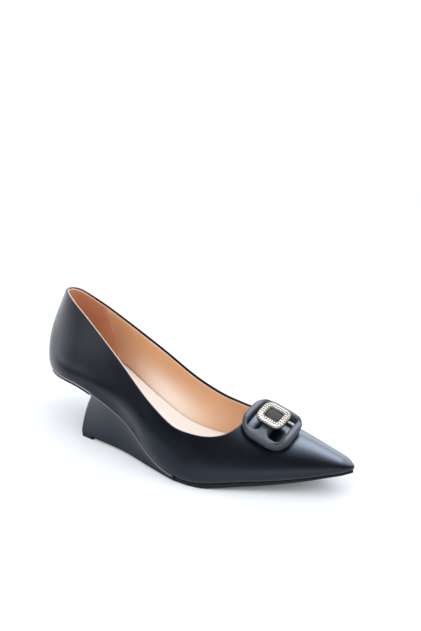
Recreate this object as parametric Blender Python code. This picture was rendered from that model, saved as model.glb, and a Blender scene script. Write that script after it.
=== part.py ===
# Wedge shoe, right foot: a pointed court shoe on a cut-away wedge heel.
# Tables and sizes are millimetres or shares; meshes are made in metres, +Z up, toe along +X.
# The outer side of the foot is -Y and the inner side is +Y.

import bpy
import bmesh
import numpy as np

MM = 0.001

# Driving sizes
LENGTH = 260.0
BALL_WIDTH = 78.0
HEEL_HEIGHT = 49.0
INSTEP_HEIGHT = 73.0
COLLAR_HEIGHT = 112.0
WALL = 1.8
GAP = 0.3

# Sections of the last, a row for each station: share of LENGTH, floor line as a share of
# HEEL_HEIGHT, half widths and side shift as shares of BALL_WIDTH, ridge as a share of INSTEP_HEIGHT
SECTION_COLUMNS = (
    "station", "floor", "foot_out", "foot_in", "belly_out", "belly_in", "shoulder", "ridge", "axis")
SECTIONS = (
    (0.000, 0.965, 0.360, 0.340, 0.360, 0.340, -0.070, 2.200, 0.000),
    (0.088, 0.935, 0.378, 0.345, 0.360, 0.340, -0.070, 2.160, 0.000),
    (0.192, 0.885, 0.387, 0.327, 0.360, 0.345, -0.050, 2.115, 0.000),
    (0.300, 0.743, 0.373, 0.260, 0.353, 0.371, 0.088, 1.866, -0.027),
    (0.400, 0.475, 0.349, 0.261, 0.431, 0.425, 0.209, 1.589, -0.036),
    (0.500, 0.210, 0.421, 0.319, 0.515, 0.495, 0.269, 1.290, -0.053),
    (0.600, 0.079, 0.521, 0.392, 0.594, 0.536, 0.296, 0.970, -0.020),
    (0.672, 0.076, 0.534, 0.409, 0.617, 0.529, 0.280, 0.800, 0.015),
    (0.740, 0.125, 0.474, 0.385, 0.575, 0.481, 0.235, 0.645, 0.050),
    (0.820, 0.187, 0.346, 0.320, 0.440, 0.386, 0.167, 0.520, 0.055),
    (0.900, 0.272, 0.210, 0.209, 0.278, 0.249, 0.112, 0.436, 0.058),
    (0.960, 0.359, 0.109, 0.115, 0.160, 0.147, 0.072, 0.370, 0.057),
    (1.000, 0.416, 0.048, 0.047, 0.087, 0.074, 0.045, 0.325, 0.061),
)
LOW_SHARE = 0.22
TIP_REACH = 7.3

# Top line, a row for each station: share of LENGTH, share of COLLAR_HEIGHT
TOP_LINE = (
    (0.036, 1.000),
    (0.112, 0.944),
    (0.192, 0.852),
    (0.300, 0.715),
    (0.400, 0.571),
    (0.500, 0.425),
    (0.592, 0.318),
)
SIDE_END = 0.592 * LENGTH
THROAT = 0.732 * LENGTH
THROAT_POWER = 3.1

# Back of the heel, a row for each height: height over the seat, distance in from the rearmost point
BACK_CURVE = (
    (0.0, 5.0),
    (18.0, 0.0),
    (42.0, 7.5),
    (69.0, 22.0),
)
HEEL_CENTRE = 0.192 * LENGTH
HEEL_POWER = 0.9

# Sole, wedge and lift
SOLE_THICK = 3.2
SOLE_THIN = 1.8
SOLE_INSET = 0.8
SOLE_TOE = LENGTH - 0.5
FLAT_START = 148.0
FLAT_END = 177.0
STEP_X = 157.0
LIFT_BACK = 55.6
LIFT_LENGTH = 13.0
LIFT_HEIGHT = 3.6
WEDGE_BACK_TOP = 69.0
WEDGE_BACK_POWER = 1.6
WEDGE_LEDGE = 0.09
WEDGE_CORNER = 5.0
WEDGE_BOW = 0.8
SEAT_THICK = 2.4
SEAT_INSET = 0.5
INSOLE_THICK = 2.4
INSOLE_END = 238.0

# Ornament: a frame with one bar, lying on the vamp, and a plaque on the bar
FRAME_LENGTH = 34.0
FRAME_WIDTH = 34.0
FRAME_CORNER = 12.0
WINDOW_CORNER = 3.5
FRAME_RAIL = 5.0
FRAME_BAR = 8.0
FRAME_HEIGHT = 4.5
PLAQUE_LENGTH = 18.5
PLAQUE_WIDTH = 16.0
PLAQUE_CORNER = 5.0
PLAQUE_HEIGHT = 2.5
FRAME_BACK = 193.0
FRAME_SIDE = -10.0
FRAME_SLOPE = 0.31
FRAME_ROLL = 38.0
FRAME_LIFT = 0.35
FRAME_SKIRT = 2.5

# Heel tab on the inner side of the collar
TAB_ANGLE = 0.62
TAB_DROP = 10.0
TAB_THICK = 0.8

# Wedge bottom outline, a row for each station: distance from the heel back, outer edge, inner edge
WEDGE_BOTTOM = (
    (57.0, -29.8, 25.0),
    (76.0, -30.8, 24.0),
    (102.0, -32.4, 24.0),
    (130.0, -37.8, 27.0),
    (157.0, -42.6, 31.4),
)


def spline(xs, ys):
    """Natural cubic spline through the points, as a function that holds its end values."""
    xs = np.asarray(xs, float)
    ys = np.asarray(ys, float)
    count = len(xs)
    step = np.diff(xs)
    matrix = np.eye(count)
    right = np.zeros(count)
    for i in range(1, count - 1):
        matrix[i, i - 1:i + 2] = (step[i - 1], 2.0 * (step[i - 1] + step[i]), step[i])
        right[i] = 6.0 * ((ys[i + 1] - ys[i]) / step[i] - (ys[i] - ys[i - 1]) / step[i - 1])
    bend = np.linalg.solve(matrix, right)

    def value(x):
        x = np.clip(np.asarray(x, float), xs[0], xs[-1])
        k = np.clip(np.searchsorted(xs, x) - 1, 0, count - 2)
        after = x - xs[k]
        before = xs[k + 1] - x
        curve = (bend[k] * before ** 3 + bend[k + 1] * after ** 3) / (6.0 * step[k])
        first = (ys[k] / step[k] - bend[k] * step[k] / 6.0) * before
        second = (ys[k + 1] / step[k] - bend[k + 1] * step[k] / 6.0) * after
        return curve + first + second

    return value


def bezier(a, b, c, d, t):
    """Cubic curve value at t."""
    s = 1.0 - t
    return s ** 3 * a + 3.0 * s * s * t * b + 3.0 * s * t * t * c + t ** 3 * d


TABLE = np.array(SECTIONS).T
SCALE = {"floor": HEEL_HEIGHT, "ridge": INSTEP_HEIGHT}
LAST = {}
for number, column in enumerate(SECTION_COLUMNS[1:], start=1):
    LAST[column] = spline(TABLE[0] * LENGTH, TABLE[number] * SCALE.get(column, BALL_WIDTH))
TOP = spline([row[0] * LENGTH for row in TOP_LINE], [row[1] * COLLAR_HEIGHT for row in TOP_LINE])
BACK = spline([row[0] for row in BACK_CURVE], [row[1] for row in BACK_CURVE])
BOTTOM_OUT = spline([row[0] for row in WEDGE_BOTTOM], [row[1] for row in WEDGE_BOTTOM])
BOTTOM_IN = spline([row[0] for row in WEDGE_BOTTOM], [row[2] for row in WEDGE_BOTTOM])


def side_name(name, side):
    """Table column of a half width for the outer (-1) or inner (+1) side."""
    return name + ("_out" if side < 0 else "_in")


def toe_end(inset):
    """Station of the toe tip of the surface lying inset inside the upper."""
    return LENGTH - 2.2 * inset


def closing(x, end):
    """Share of the section left near the rounded toe tip at station end."""
    u = np.clip((x - (end - TIP_REACH)) / TIP_REACH, 0.0, 1.0)
    return np.sqrt(np.maximum(0.0, 1.0 - u * u))


def wall(x, t, side, inset):
    """Point of the side wall at station x and share t of the way from sole to ridge."""
    c = closing(x, toe_end(inset))
    foot = (LAST[side_name("foot", side)](x) - inset) * c
    belly = (LAST[side_name("belly", side)](x) - inset) * c
    shoulder = (LAST["shoulder"](x) - 0.6 * inset) * c
    low = LAST["floor"](x)
    rise = (LAST["ridge"](x) - inset - low) * c
    y = LAST["axis"](x) + side * bezier(foot, belly, shoulder, 0.0, t)
    z = low + rise * bezier(0.0, LOW_SHARE, 1.0, 1.0, t)
    return np.stack(np.broadcast_arrays(x, y, z), -1)


def heel(phi, t, side, inset):
    """Point of the heel at fan angle phi, 0 at the back and a right angle at the heel centre."""
    reach = np.cos(phi) ** HEEL_POWER
    spread = np.sin(phi) ** HEEL_POWER
    x_low = HEEL_CENTRE - (HEEL_CENTRE - BACK(0.0)) * reach
    foot = LAST[side_name("foot", side)](x_low) - inset
    belly = LAST[side_name("belly", side)](x_low) - inset
    shoulder = LAST["shoulder"](x_low) - 0.6 * inset
    low = LAST["floor"](x_low)
    rise = (LAST["ridge"](x_low) - inset - low) * bezier(0.0, LOW_SHARE, 1.0, 1.0, t)
    x = HEEL_CENTRE - (HEEL_CENTRE - BACK(rise) - inset) * reach
    y = LAST["axis"](x_low) + side * bezier(foot, belly, shoulder, 0.0, t) * spread
    return np.stack(np.broadcast_arrays(x, y, low + rise), -1)


def solve(over, low, high):
    """Parameter between low and high where the growing function over() passes zero."""
    for turn in range(44):
        middle = 0.5 * (low + high)
        if over(middle) > 0.0:
            high = middle
        else:
            low = middle
    return 0.5 * (low + high)


def side_height(point):
    """Height of a point over the top line of the side."""
    return point[2] - TOP(min(point[0], SIDE_END))


def column(kind, value, side, inset):
    """Surface line of one column as a function of t, with the t of its upper end."""
    if kind == "heel":
        end = solve(lambda t: side_height(heel(value, t, side, inset)), 0.1, 1.0)
        return (lambda t: heel(value, t, side, inset)), end
    if kind == "side":
        end = solve(lambda t: side_height(wall(value, t, side, inset)), 0.05, 1.0)
        return (lambda t: wall(value, t, side, inset)), end
    if kind == "arc":
        x = SIDE_END + (THROAT - SIDE_END) * np.sin(value) ** (2.0 / THROAT_POWER)
        start = column("side", SIDE_END, side, inset)
        half = abs(start[0](start[1])[1] - LAST["axis"](SIDE_END))
        edge = half * np.cos(value) ** (2.0 / THROAT_POWER)
        if value > 0.4999 * np.pi:
            return (lambda t: wall(THROAT, t, side, inset)), 1.0
        end = solve(lambda t: edge - abs(wall(x, t, side, inset)[1] - LAST["axis"](x)), 0.25, 1.0)
        return (lambda t: wall(x, t, side, inset)), end
    x = THROAT + (toe_end(inset) - TIP_REACH - THROAT) * value
    if kind == "tip":
        x = toe_end(inset) - TIP_REACH + TIP_REACH * np.sin(value)
    return (lambda t: wall(x, t, side, inset)), 1.0


def upper_columns():
    """Kinds and parameters of the columns of one side, from the toe tip to the heel back."""
    right = 0.5 * np.pi
    found = [("tip", a) for a in np.linspace(right, 0.0, 6)[:-1]]
    found += [("vamp", s) for s in np.linspace(1.0, 0.0, 11)[:-1]]
    found += [("arc", a) for a in np.linspace(right, 0.0, 13)[:-1]]
    found += [("side", x) for x in np.linspace(SIDE_END, HEEL_CENTRE, 13)[:-1]]
    found += [("heel", a) for a in np.linspace(right, 0.0, 11)]
    return found


def upper_sheet(inset, rows):
    """Columns of points round the whole upper: outer side forwards to back, then inner side."""
    sheet = []
    for side in (-1, 1):
        lines = []
        for kind, value in upper_columns():
            line, end = column(kind, value, side, inset)
            lines.append([line(end * i / rows) for i in range(rows + 1)])
        sheet.append(lines)
    return sheet[0] + sheet[1][-2::-1]


class Solid:
    """Faces of one closed piece, gathered before the mesh is made."""

    def __init__(self):
        self.points = []
        self.faces = []

    def add(self, points):
        """Keep points and give back their numbers."""
        first = len(self.points)
        self.points.extend([tuple(float(v) for v in p) for p in points])
        return list(range(first, len(self.points)))

    def strip(self, a, b, closed=False):
        """Quads between two equal rows of point numbers."""
        count = len(a)
        for i in range(count if closed else count - 1):
            j = (i + 1) % count
            self.faces.append((a[i], a[j], b[j], b[i]))

    def loft(self, loops, cap_start=True, cap_end=True):
        """Skin over closed loops of equal count, with flat ends where asked."""
        rings = [self.add(loop) for loop in loops]
        for a, b in zip(rings[:-1], rings[1:]):
            self.strip(a, b, closed=True)
        if cap_start:
            self.faces.append(tuple(rings[0]))
        if cap_end:
            self.faces.append(tuple(reversed(rings[-1])))
        return rings


def upper_solid():
    """Hollow upper: outer and inner sheets joined at the sole edge and round the opening."""
    rows = 9
    solid = Solid()
    outer = [solid.add(line) for line in upper_sheet(0.0, rows)]
    inner = [solid.add(line) for line in upper_sheet(WALL, rows)]
    for sheet in (outer, inner):
        for a, b in zip(sheet[:-1], sheet[1:]):
            solid.strip(a, b)
    open_kinds = [kind in ("arc", "side", "heel") for kind, value in upper_columns()]
    is_open = open_kinds + open_kinds[-2::-1]
    for k in range(len(outer) - 1):
        solid.faces.append((outer[k][0], outer[k + 1][0], inner[k + 1][0], inner[k][0]))
        if is_open[k] and is_open[k + 1]:
            solid.faces.append((outer[k][rows], outer[k + 1][rows], inner[k + 1][rows], inner[k][rows]))
    return solid


def plan_rows(start, end, inset, count, toe):
    """Rows (x, outer y, inner y) of the sole outline; start 0 begins at the round heel back."""
    rows = []
    if start < HEEL_CENTRE:
        for phi in np.linspace(0.0, 0.5 * np.pi, 12):
            x_low = HEEL_CENTRE - (HEEL_CENTRE - BACK(0.0)) * np.cos(phi) ** HEEL_POWER
            x = HEEL_CENTRE - (HEEL_CENTRE - BACK(0.0) - inset) * np.cos(phi) ** HEEL_POWER
            spread = np.sin(phi) ** HEEL_POWER
            out = (LAST["foot_out"](x_low) - inset) * spread
            inn = (LAST["foot_in"](x_low) - inset) * spread
            rows.append((x, LAST["axis"](x_low) - out, LAST["axis"](x_low) + inn))
        start = HEEL_CENTRE
    last = toe - TIP_REACH
    xs = list(np.linspace(start, min(end, last), count))
    if rows:
        xs = xs[1:]
    if end > last:
        xs += list(last + TIP_REACH * np.sin(np.linspace(0.0, 0.5 * np.pi, 6)[1:]))
    for x in xs:
        c = closing(x, toe)
        out = (LAST["foot_out"](x) - inset) * c
        inn = (LAST["foot_in"](x) - inset) * c
        rows.append((x, LAST["axis"](x) - out, LAST["axis"](x) + inn))
    return rows


def slab(rows, top, bottom, round_edge, across):
    """Solid over the plan rows between two heights given by station."""
    solid = Solid()
    loops = []
    for x, out, inn in rows:
        edge = min(round_edge, 0.3 * (inn - out))
        ys = np.linspace(out + edge, inn - edge, across + 1)
        high = float(top(x))
        low = float(bottom(x))
        loop = [(x, y, high) for y in ys]
        loop += [(x, inn, high - round_edge), (x, inn, low + round_edge)]
        loop += [(x, y, low) for y in ys[::-1]]
        loop += [(x, out, low + round_edge), (x, out, high - round_edge)]
        loops.append(loop)
    flat_start = rows[0][2] - rows[0][1] > 0.01
    flat_end = rows[-1][2] - rows[-1][1] > 0.01
    solid.loft(loops, flat_start, flat_end)
    return solid


def sole_bottom(x):
    """Underside of the outsole: flat at the ball, rising to the toe and to the lift."""
    if x < FLAT_START:
        share = (FLAT_START - x) / (FLAT_START - LIFT_BACK - LIFT_LENGTH)
        return (LIFT_HEIGHT - SOLE_THIN) * share
    if x < FLAT_END:
        return 0.0
    spring = LAST["floor"](x) - GAP - SOLE_THICK
    start = LAST["floor"](FLAT_END) - GAP - SOLE_THICK
    return max(0.0, float(spring - start * np.exp(-(x - FLAT_END) / 12.0)))


def sole_top(x):
    """Upper side of the outsole: under the wedge it is thin, before the wedge it meets the upper."""
    if x < STEP_X:
        return sole_bottom(x) + SOLE_THIN
    return LAST["floor"](x) - GAP


def outsole_solid():
    """Outsole from the front of the lift to the toe tip, with the step for the wedge."""
    start = LIFT_BACK + LIFT_LENGTH + GAP
    rows = []
    for x in list(np.linspace(start, FLAT_START, 9)) + [STEP_X - 0.01]:
        rows.append((x, BOTTOM_OUT(x) + SOLE_INSET, BOTTOM_IN(x) - SOLE_INSET))
    ahead = plan_rows(STEP_X + 0.6, LENGTH, SOLE_INSET, 18, SOLE_TOE)
    front_flat = [row for row in ahead if row[0] < FLAT_END]
    front_rise = [row for row in ahead if row[0] > FLAT_END + 0.5]
    x = FLAT_END
    flat_row = (x, LAST["axis"](x) - LAST["foot_out"](x) + SOLE_INSET,
                LAST["axis"](x) + LAST["foot_in"](x) - SOLE_INSET)
    return slab(rows + front_flat + [flat_row] + front_rise, sole_top, sole_bottom, 0.5, 6)


def wedge_bottom(x):
    """Underside of the wedge: over the lift, then over the thin outsole."""
    return max(sole_bottom(max(x, LIFT_BACK + LIFT_LENGTH)) + SOLE_THIN + GAP, 0.0)


def wedge_solid():
    """Wedge block: flush with the upper above, leaning back to the lift below."""
    levels = 9
    front = STEP_X - GAP
    near = [0.0, 0.4, 1.4, 3.0, WEDGE_CORNER]
    along = near + list(np.linspace(WEDGE_CORNER, front - LIFT_BACK, 16)[1:])
    full = front - LIFT_BACK
    loops = []
    for distance in along:
        u = distance / full
        corner = 1.0 - min(distance / WEDGE_CORNER, 1.0)
        inset = WEDGE_CORNER * (1.0 - np.sqrt(max(0.0, 1.0 - corner * corner)))
        lines = {-1: [], 1: []}
        for i in range(levels + 1):
            v = 0.0 if i == 0 else WEDGE_LEDGE + (1.0 - WEDGE_LEDGE) * (i - 1) / (levels - 1)
            lean = max(0.0, (v - WEDGE_LEDGE) / (1.0 - WEDGE_LEDGE))
            x_back = LIFT_BACK + (WEDGE_BACK_TOP - LIFT_BACK) * (1.0 - lean) ** WEDGE_BACK_POWER
            x = x_back + u * (front - x_back)
            high = LAST["floor"](x) - GAP
            low = wedge_bottom(x)
            z = high + (low - high) * v
            bow = WEDGE_BOW * 4.0 * v * (1.0 - v)
            for side, bottom in ((-1, BOTTOM_OUT), (1, BOTTOM_IN)):
                up = LAST["axis"](x) + side * LAST[side_name("foot", side)](x)
                y = up + (bottom(x) - up) * v
                lines[side].append((x, y - side * (inset + bow * (1.0 - u)), z))
        loops.append(lines[-1] + lines[1][::-1])
    solid = Solid()
    rings = solid.loft(loops, False, False)
    for ring in (rings[0], rings[-1]):
        solid.strip(ring[:levels + 1], ring[:levels:-1])
    return solid


def lift_solid():
    """Top lift under the back of the wedge."""
    rows = []
    corner = WEDGE_CORNER
    for distance in [0.0, 0.4, 1.4, 3.0, corner, LIFT_LENGTH]:
        cut = 1.0 - min(distance / corner, 1.0)
        inset = 0.4 + corner * (1.0 - np.sqrt(max(0.0, 1.0 - cut * cut)))
        x = LIFT_BACK + distance
        rows.append((x, BOTTOM_OUT(x) + inset, BOTTOM_IN(x) - inset))
    return slab(rows, lambda x: LIFT_HEIGHT, lambda x: 0.0, 0.4, 1)


def seat_solid():
    """Plate closing the heel from below, behind the wedge."""
    rows = plan_rows(0.0, WEDGE_BACK_TOP - GAP, SEAT_INSET, 6, LENGTH)
    top = lambda x: LAST["floor"](x) - GAP
    return slab(rows, top, lambda x: top(x) - SEAT_THICK, 0.4, 4)


def insole_solid():
    """Footbed lying inside the upper, on the sole, the wedge and the heel plate."""
    inset = WALL + GAP + 0.1
    rows = plan_rows(0.0, INSOLE_END, inset, 26, toe_end(inset))
    low = LAST["floor"]
    return slab(rows, lambda x: low(x) + INSOLE_THICK, low, 0.5, 6)


def rounded_loop(length, width, corner, centre):
    """Points of a rounded rectangle, about 3 mm apart, counted round to the left."""
    right = 0.5 * np.pi
    points = []
    for turn, (sx, sy) in enumerate(((1.0, 1.0), (-1.0, 1.0), (-1.0, -1.0), (1.0, -1.0))):
        cx = centre[0] + sx * (0.5 * length - corner)
        cy = centre[1] + sy * (0.5 * width - corner)
        for angle in np.linspace(turn * right, (turn + 1) * right, 6):
            points.append((cx + corner * np.cos(angle), cy + corner * np.sin(angle)))
    full = []
    for a, b in zip(points, points[1:] + points[:1]):
        parts = max(1, int(np.ceil(np.hypot(b[0] - a[0], b[1] - a[1]) / 3.2)))
        for k in range(parts):
            full.append((a[0] + (b[0] - a[0]) * k / parts, a[1] + (b[1] - a[1]) * k / parts))
    return full


def on_vamp(a, b, h):
    """Place of an ornament point: a forwards from its back edge, b inward, h off the vamp."""
    angle = (b + FRAME_SIDE) / FRAME_ROLL
    pitch = np.arctan(FRAME_SLOPE)
    up = (FRAME_ROLL + h) * np.cos(angle) - FRAME_ROLL + FRAME_LIFT
    x = FRAME_BACK + a * np.cos(pitch) + up * np.sin(pitch)
    y = LAST["axis"](FRAME_BACK) + (FRAME_ROLL + h) * np.sin(angle)
    z = LAST["ridge"](FRAME_BACK) - a * np.sin(pitch) + up * np.cos(pitch)
    return (float(x), float(y), float(z))


def skirt(a, b):
    """How far the underside of the ornament reaches below its own curve, towards the vamp."""
    x, y, z = on_vamp(a, b, 0.0)
    side = -1 if y < LAST["axis"](x) else 1
    reach = side * (y - LAST["axis"](x))
    if reach > side * (wall(x, 0.3, side, 0.0)[1] - LAST["axis"](x)):
        return FRAME_SKIRT
    t = solve(lambda t: side * (LAST["axis"](x) - wall(x, t, side, 0.0)[1]) + reach, 0.3, 1.0)
    return float(np.clip(0.6 * (z - wall(x, t, side, 0.0)[2] - 0.6), 0.0, FRAME_SKIRT))


def fill(loops):
    """Triangles over a flat outline with windows, as numbers into the loops laid end to end."""
    work = bmesh.new()
    verts = []
    edges = []
    for loop in loops:
        ring = [work.verts.new((p[0], p[1], 0.0)) for p in loop]
        edges += [work.edges.new((ring[i - 1], ring[i])) for i in range(len(ring))]
        verts += ring
    bmesh.ops.triangle_fill(work, use_beauty=True, edges=edges)
    number = {vert: i for i, vert in enumerate(verts)}
    found = [tuple(number[vert] for vert in face.verts) for face in work.faces]
    work.free()
    return found


def plate_solid(shapes, levels, skirted=0):
    """Curved plate of an outline with windows; each level is (height, draw-in of the edges).

    The lowest skirted levels reach down towards the vamp."""
    solid = Solid()
    loops = [rounded_loop(*shape) for shape in shapes]
    floors = []
    for level, (height, draw) in enumerate(levels):
        numbers = []
        for k, (length, width, corner, centre) in enumerate(shapes):
            move = -draw if k == 0 else draw
            ring = []
            for a, b in loops[k]:
                drop = skirt(a, b) if level < skirted else 0.0
                u = (a - centre[0]) / (0.5 * length)
                w = (b - centre[1]) / (0.5 * width)
                ring.append(on_vamp(a + move * u, b + move * w, height - drop))
            numbers.append(solid.add(ring))
        floors.append(numbers)
    for low, high in zip(floors[:-1], floors[1:]):
        for a, b in zip(low, high):
            solid.strip(a, b, closed=True)
    for numbers in (floors[0], floors[-1]):
        flat = [i for ring in numbers for i in ring]
        solid.faces += [tuple(flat[i] for i in face) for face in fill(loops)]
    return solid


def frame_solid():
    """Ornament frame: rounded outline, two windows and the bar across the foot between them."""
    middle = 0.5 * FRAME_LENGTH
    window = 0.5 * (FRAME_LENGTH - 2.0 * FRAME_RAIL - FRAME_BAR)
    offset = 0.5 * (FRAME_BAR + window)
    shapes = [(FRAME_LENGTH, FRAME_WIDTH, FRAME_CORNER, (middle, 0.0))]
    for end in (-1.0, 1.0):
        centre = (middle + end * offset, 0.0)
        shapes.append((window, FRAME_WIDTH - 2.0 * FRAME_RAIL, WINDOW_CORNER, centre))
    levels = ((0.0, 0.7), (0.7, 0.0), (3.0, 0.0), (4.1, 0.5), (FRAME_HEIGHT, 1.4))
    return plate_solid(shapes, levels, 2)


def plaque_solid():
    """Plain plaque on the bar of the frame."""
    sag = PLAQUE_WIDTH ** 2 / (8.0 * (FRAME_ROLL + FRAME_HEIGHT))
    low = FRAME_HEIGHT + GAP + sag
    high = low + PLAQUE_HEIGHT
    shapes = [(PLAQUE_LENGTH, PLAQUE_WIDTH, PLAQUE_CORNER, (0.5 * FRAME_LENGTH, 0.0))]
    levels = ((low, 0.4), (low + 0.4, 0.0), (high - 0.6, 0.0), (high, 0.7))
    return plate_solid(shapes, levels)


def tab_solid():
    """Heel tab cut from the upper's own surface, from the back seam to the inner side."""
    solid = Solid()
    sheets = []
    for inset in (-GAP, -GAP - TAB_THICK):
        sheet = []
        for share in np.linspace(0.02, 0.97, 8):
            line, end = column("heel", share * TAB_ANGLE, 1, 0.0)
            height = line(end)[2] - 0.5
            drop = TAB_DROP * np.sqrt(1.0 - share * share)
            ends = [solve(lambda t: line(t)[2] - z, 0.05, 1.0) for z in (height - drop, height)]
            ts = np.linspace(ends[0], ends[1], 4)
            sheet.append(solid.add([heel(share * TAB_ANGLE, t, 1, inset) for t in ts]))
        sheets.append(sheet)
    inner, outer = sheets
    for sheet in sheets:
        for a, b in zip(sheet[:-1], sheet[1:]):
            solid.strip(a, b)
    for k in (0, -1):
        solid.strip([line[k] for line in inner], [line[k] for line in outer])
        solid.strip(inner[k], outer[k])
    return solid


def material(name, colour, rough, metal=0.0):
    """Principled material of one piece."""
    made = bpy.data.materials.new(name)
    made.use_nodes = True
    shader = made.node_tree.nodes["Principled BSDF"]
    shader.inputs["Base Color"].default_value = (colour[0], colour[1], colour[2], 1.0)
    shader.inputs["Roughness"].default_value = rough
    shader.inputs["Metallic"].default_value = metal
    made.diffuse_color = (colour[0], colour[1], colour[2], 1.0)
    return made


def finish(name, solid, shift, surface, smooth):
    """Make the named object from a solid, closed and with its faces outward."""
    mesh = bpy.data.meshes.new(name)
    work = bmesh.new()
    verts = [work.verts.new([(p[i] - shift[i]) * MM for i in range(3)]) for p in solid.points]
    for face in solid.faces:
        if len(set(face)) > 2:
            work.faces.new([verts[i] for i in face])
    bmesh.ops.remove_doubles(work, verts=work.verts, dist=0.000002)
    bmesh.ops.dissolve_degenerate(work, edges=work.edges, dist=0.000001)
    bmesh.ops.triangulate(work, faces=work.faces)
    bmesh.ops.recalc_face_normals(work, faces=work.faces)
    for face in work.faces:
        face.smooth = smooth
    work.to_mesh(mesh)
    work.free()
    mesh.materials.append(surface)
    made = bpy.data.objects.new(name, mesh)
    bpy.context.scene.collection.objects.link(made)
    return made


def main():
    """Clear the scene and build every piece about the middle of the shoe's floor outline."""
    for old in list(bpy.data.objects):
        bpy.data.objects.remove(old, do_unlink=True)
    leather = (0.012, 0.013, 0.016)
    pieces = (
        ("upper", upper_solid(), leather, 0.38, 0.0, True),
        ("insole", insole_solid(), (0.72, 0.52, 0.36), 0.6, 0.0, False),
        ("outsole", outsole_solid(), (0.02, 0.02, 0.022), 0.6, 0.0, False),
        ("wedge_heel", wedge_solid(), leather, 0.42, 0.0, False),
        ("top_lift", lift_solid(), (0.015, 0.015, 0.015), 0.7, 0.0, False),
        ("heel_seat", seat_solid(), (0.015, 0.015, 0.017), 0.5, 0.0, False),
        ("heel_tab", tab_solid(), leather, 0.38, 0.0, False),
        ("ornament_frame", frame_solid(), (0.045, 0.048, 0.055), 0.6, 0.0, False),
        ("ornament_plaque", plaque_solid(), (0.62, 0.62, 0.64), 0.3, 0.9, False),
    )
    every = np.array([p for piece in pieces for p in piece[1].points])
    low = every.min(0)
    high = every.max(0)
    shift = (0.5 * (low[0] + high[0]), 0.5 * (low[1] + high[1]), low[2])
    for name, solid, colour, rough, metal, smooth in pieces:
        finish(name, solid, shift, material(name + "_finish", colour, rough, metal), smooth)


main()
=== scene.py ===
"""Looks of a right court shoe on a cut-away wedge: leather, lining, soles, ornament and studio."""

import logging
import math
from dataclasses import dataclass, field
from enum import Enum
from typing import Callable, Sequence

import bmesh
import bpy
import numpy as np
from mathutils import Matrix, Vector


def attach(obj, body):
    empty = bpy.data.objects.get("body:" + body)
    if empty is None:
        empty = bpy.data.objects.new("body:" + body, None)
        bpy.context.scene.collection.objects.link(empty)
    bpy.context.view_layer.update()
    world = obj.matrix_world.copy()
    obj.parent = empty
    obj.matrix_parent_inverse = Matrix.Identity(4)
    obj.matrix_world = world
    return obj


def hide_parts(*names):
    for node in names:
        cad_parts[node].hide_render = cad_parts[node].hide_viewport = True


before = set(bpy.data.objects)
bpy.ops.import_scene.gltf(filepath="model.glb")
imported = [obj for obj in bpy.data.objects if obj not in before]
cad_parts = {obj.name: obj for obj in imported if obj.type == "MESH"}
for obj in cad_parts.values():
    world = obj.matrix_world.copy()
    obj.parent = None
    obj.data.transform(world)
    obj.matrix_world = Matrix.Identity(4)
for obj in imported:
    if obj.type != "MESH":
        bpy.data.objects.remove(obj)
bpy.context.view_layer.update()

LOG = logging.getLogger("wedge_shoe")
MM = 0.001
BODY = "root"
RIGHT_ANGLE = 0.5 * math.pi
MERGE = 0.002 * MM
SLIVER = 0.2 * MERGE
TINY = 1e-9
CLOSED = 1e-6
HALVINGS = 40
ALMOST = 0.9999
RING = 96
CORNER_POINTS = 25
SENSOR = 36.0
FINE_GRAIN = 0.45
RUBBED_ROUGH = 0.25
RUBBED_GAIN = 1.6
RUBBED_LIFT = 0.012

Colour = tuple[float, float, float]
Row = tuple[float, float, float]


class Side(Enum):
    """Sides of the foot, with the direction of each along Y."""

    OUTER = -1
    INNER = 1


class Spline:
    """Natural cubic curve through table points, held at its end values beyond them."""

    def __init__(self, xs: Sequence[float], ys: Sequence[float]) -> None:
        """Solve the curve.

        Args:
            xs: Growing stations of the points.
            ys: Values at the stations.
        """
        self.xs = np.asarray(xs, float)
        self.ys = np.asarray(ys, float)
        count = len(self.xs)
        self.step = np.diff(self.xs)
        matrix = np.eye(count)
        right = np.zeros(count)
        for i in range(1, count - 1):
            before, after = self.step[i - 1], self.step[i]
            matrix[i, i - 1:i + 2] = (before, 2.0 * (before + after), after)
            rise = (self.ys[i + 1] - self.ys[i]) / after
            right[i] = 6.0 * (rise - (self.ys[i] - self.ys[i - 1]) / before)
        self.bend = np.linalg.solve(matrix, right)

    def __call__(self, x: np.ndarray | float) -> np.ndarray:
        """Value of the curve.

        Args:
            x: Station or array of stations.
        Returns:
            Values of the same shape.
        """
        x = np.clip(np.asarray(x, float), self.xs[0], self.xs[-1])
        k = np.clip(np.searchsorted(self.xs, x) - 1, 0, len(self.xs) - 2)
        step = self.step[k]
        after = x - self.xs[k]
        before = self.xs[k + 1] - x
        curve = (self.bend[k] * before ** 3 + self.bend[k + 1] * after ** 3) / (6.0 * step)
        first = (self.ys[k] / step - self.bend[k] * step / 6.0) * before
        second = (self.ys[k + 1] / step - self.bend[k + 1] * step / 6.0) * after
        return curve + first + second


def bezier(a: np.ndarray | float, b: np.ndarray | float, c: np.ndarray | float, d: float,
           t: np.ndarray) -> np.ndarray:
    """Cubic curve value.

    Args:
        a, b, c, d: Control values.
        t: Share of the way along.
    Returns:
        Value at t.
    """
    s = 1.0 - t
    return s ** 3 * a + 3.0 * s * s * t * b + 3.0 * s * t * t * c + t ** 3 * d


def solve(over: Callable[[np.ndarray], np.ndarray], low: np.ndarray, high: np.ndarray) -> np.ndarray:
    """Halve a range until a growing function passes zero, for many values at once.

    Args:
        over: Growing function of the parameters.
        low: Lowest parameters.
        high: Highest parameters.
    Returns:
        Parameters where over() is zero.
    """
    for _ in range(HALVINGS):
        middle = 0.5 * (low + high)
        passed = over(middle) > 0.0
        high = np.where(passed, middle, high)
        low = np.where(passed, low, middle)
    return 0.5 * (low + high)


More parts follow.
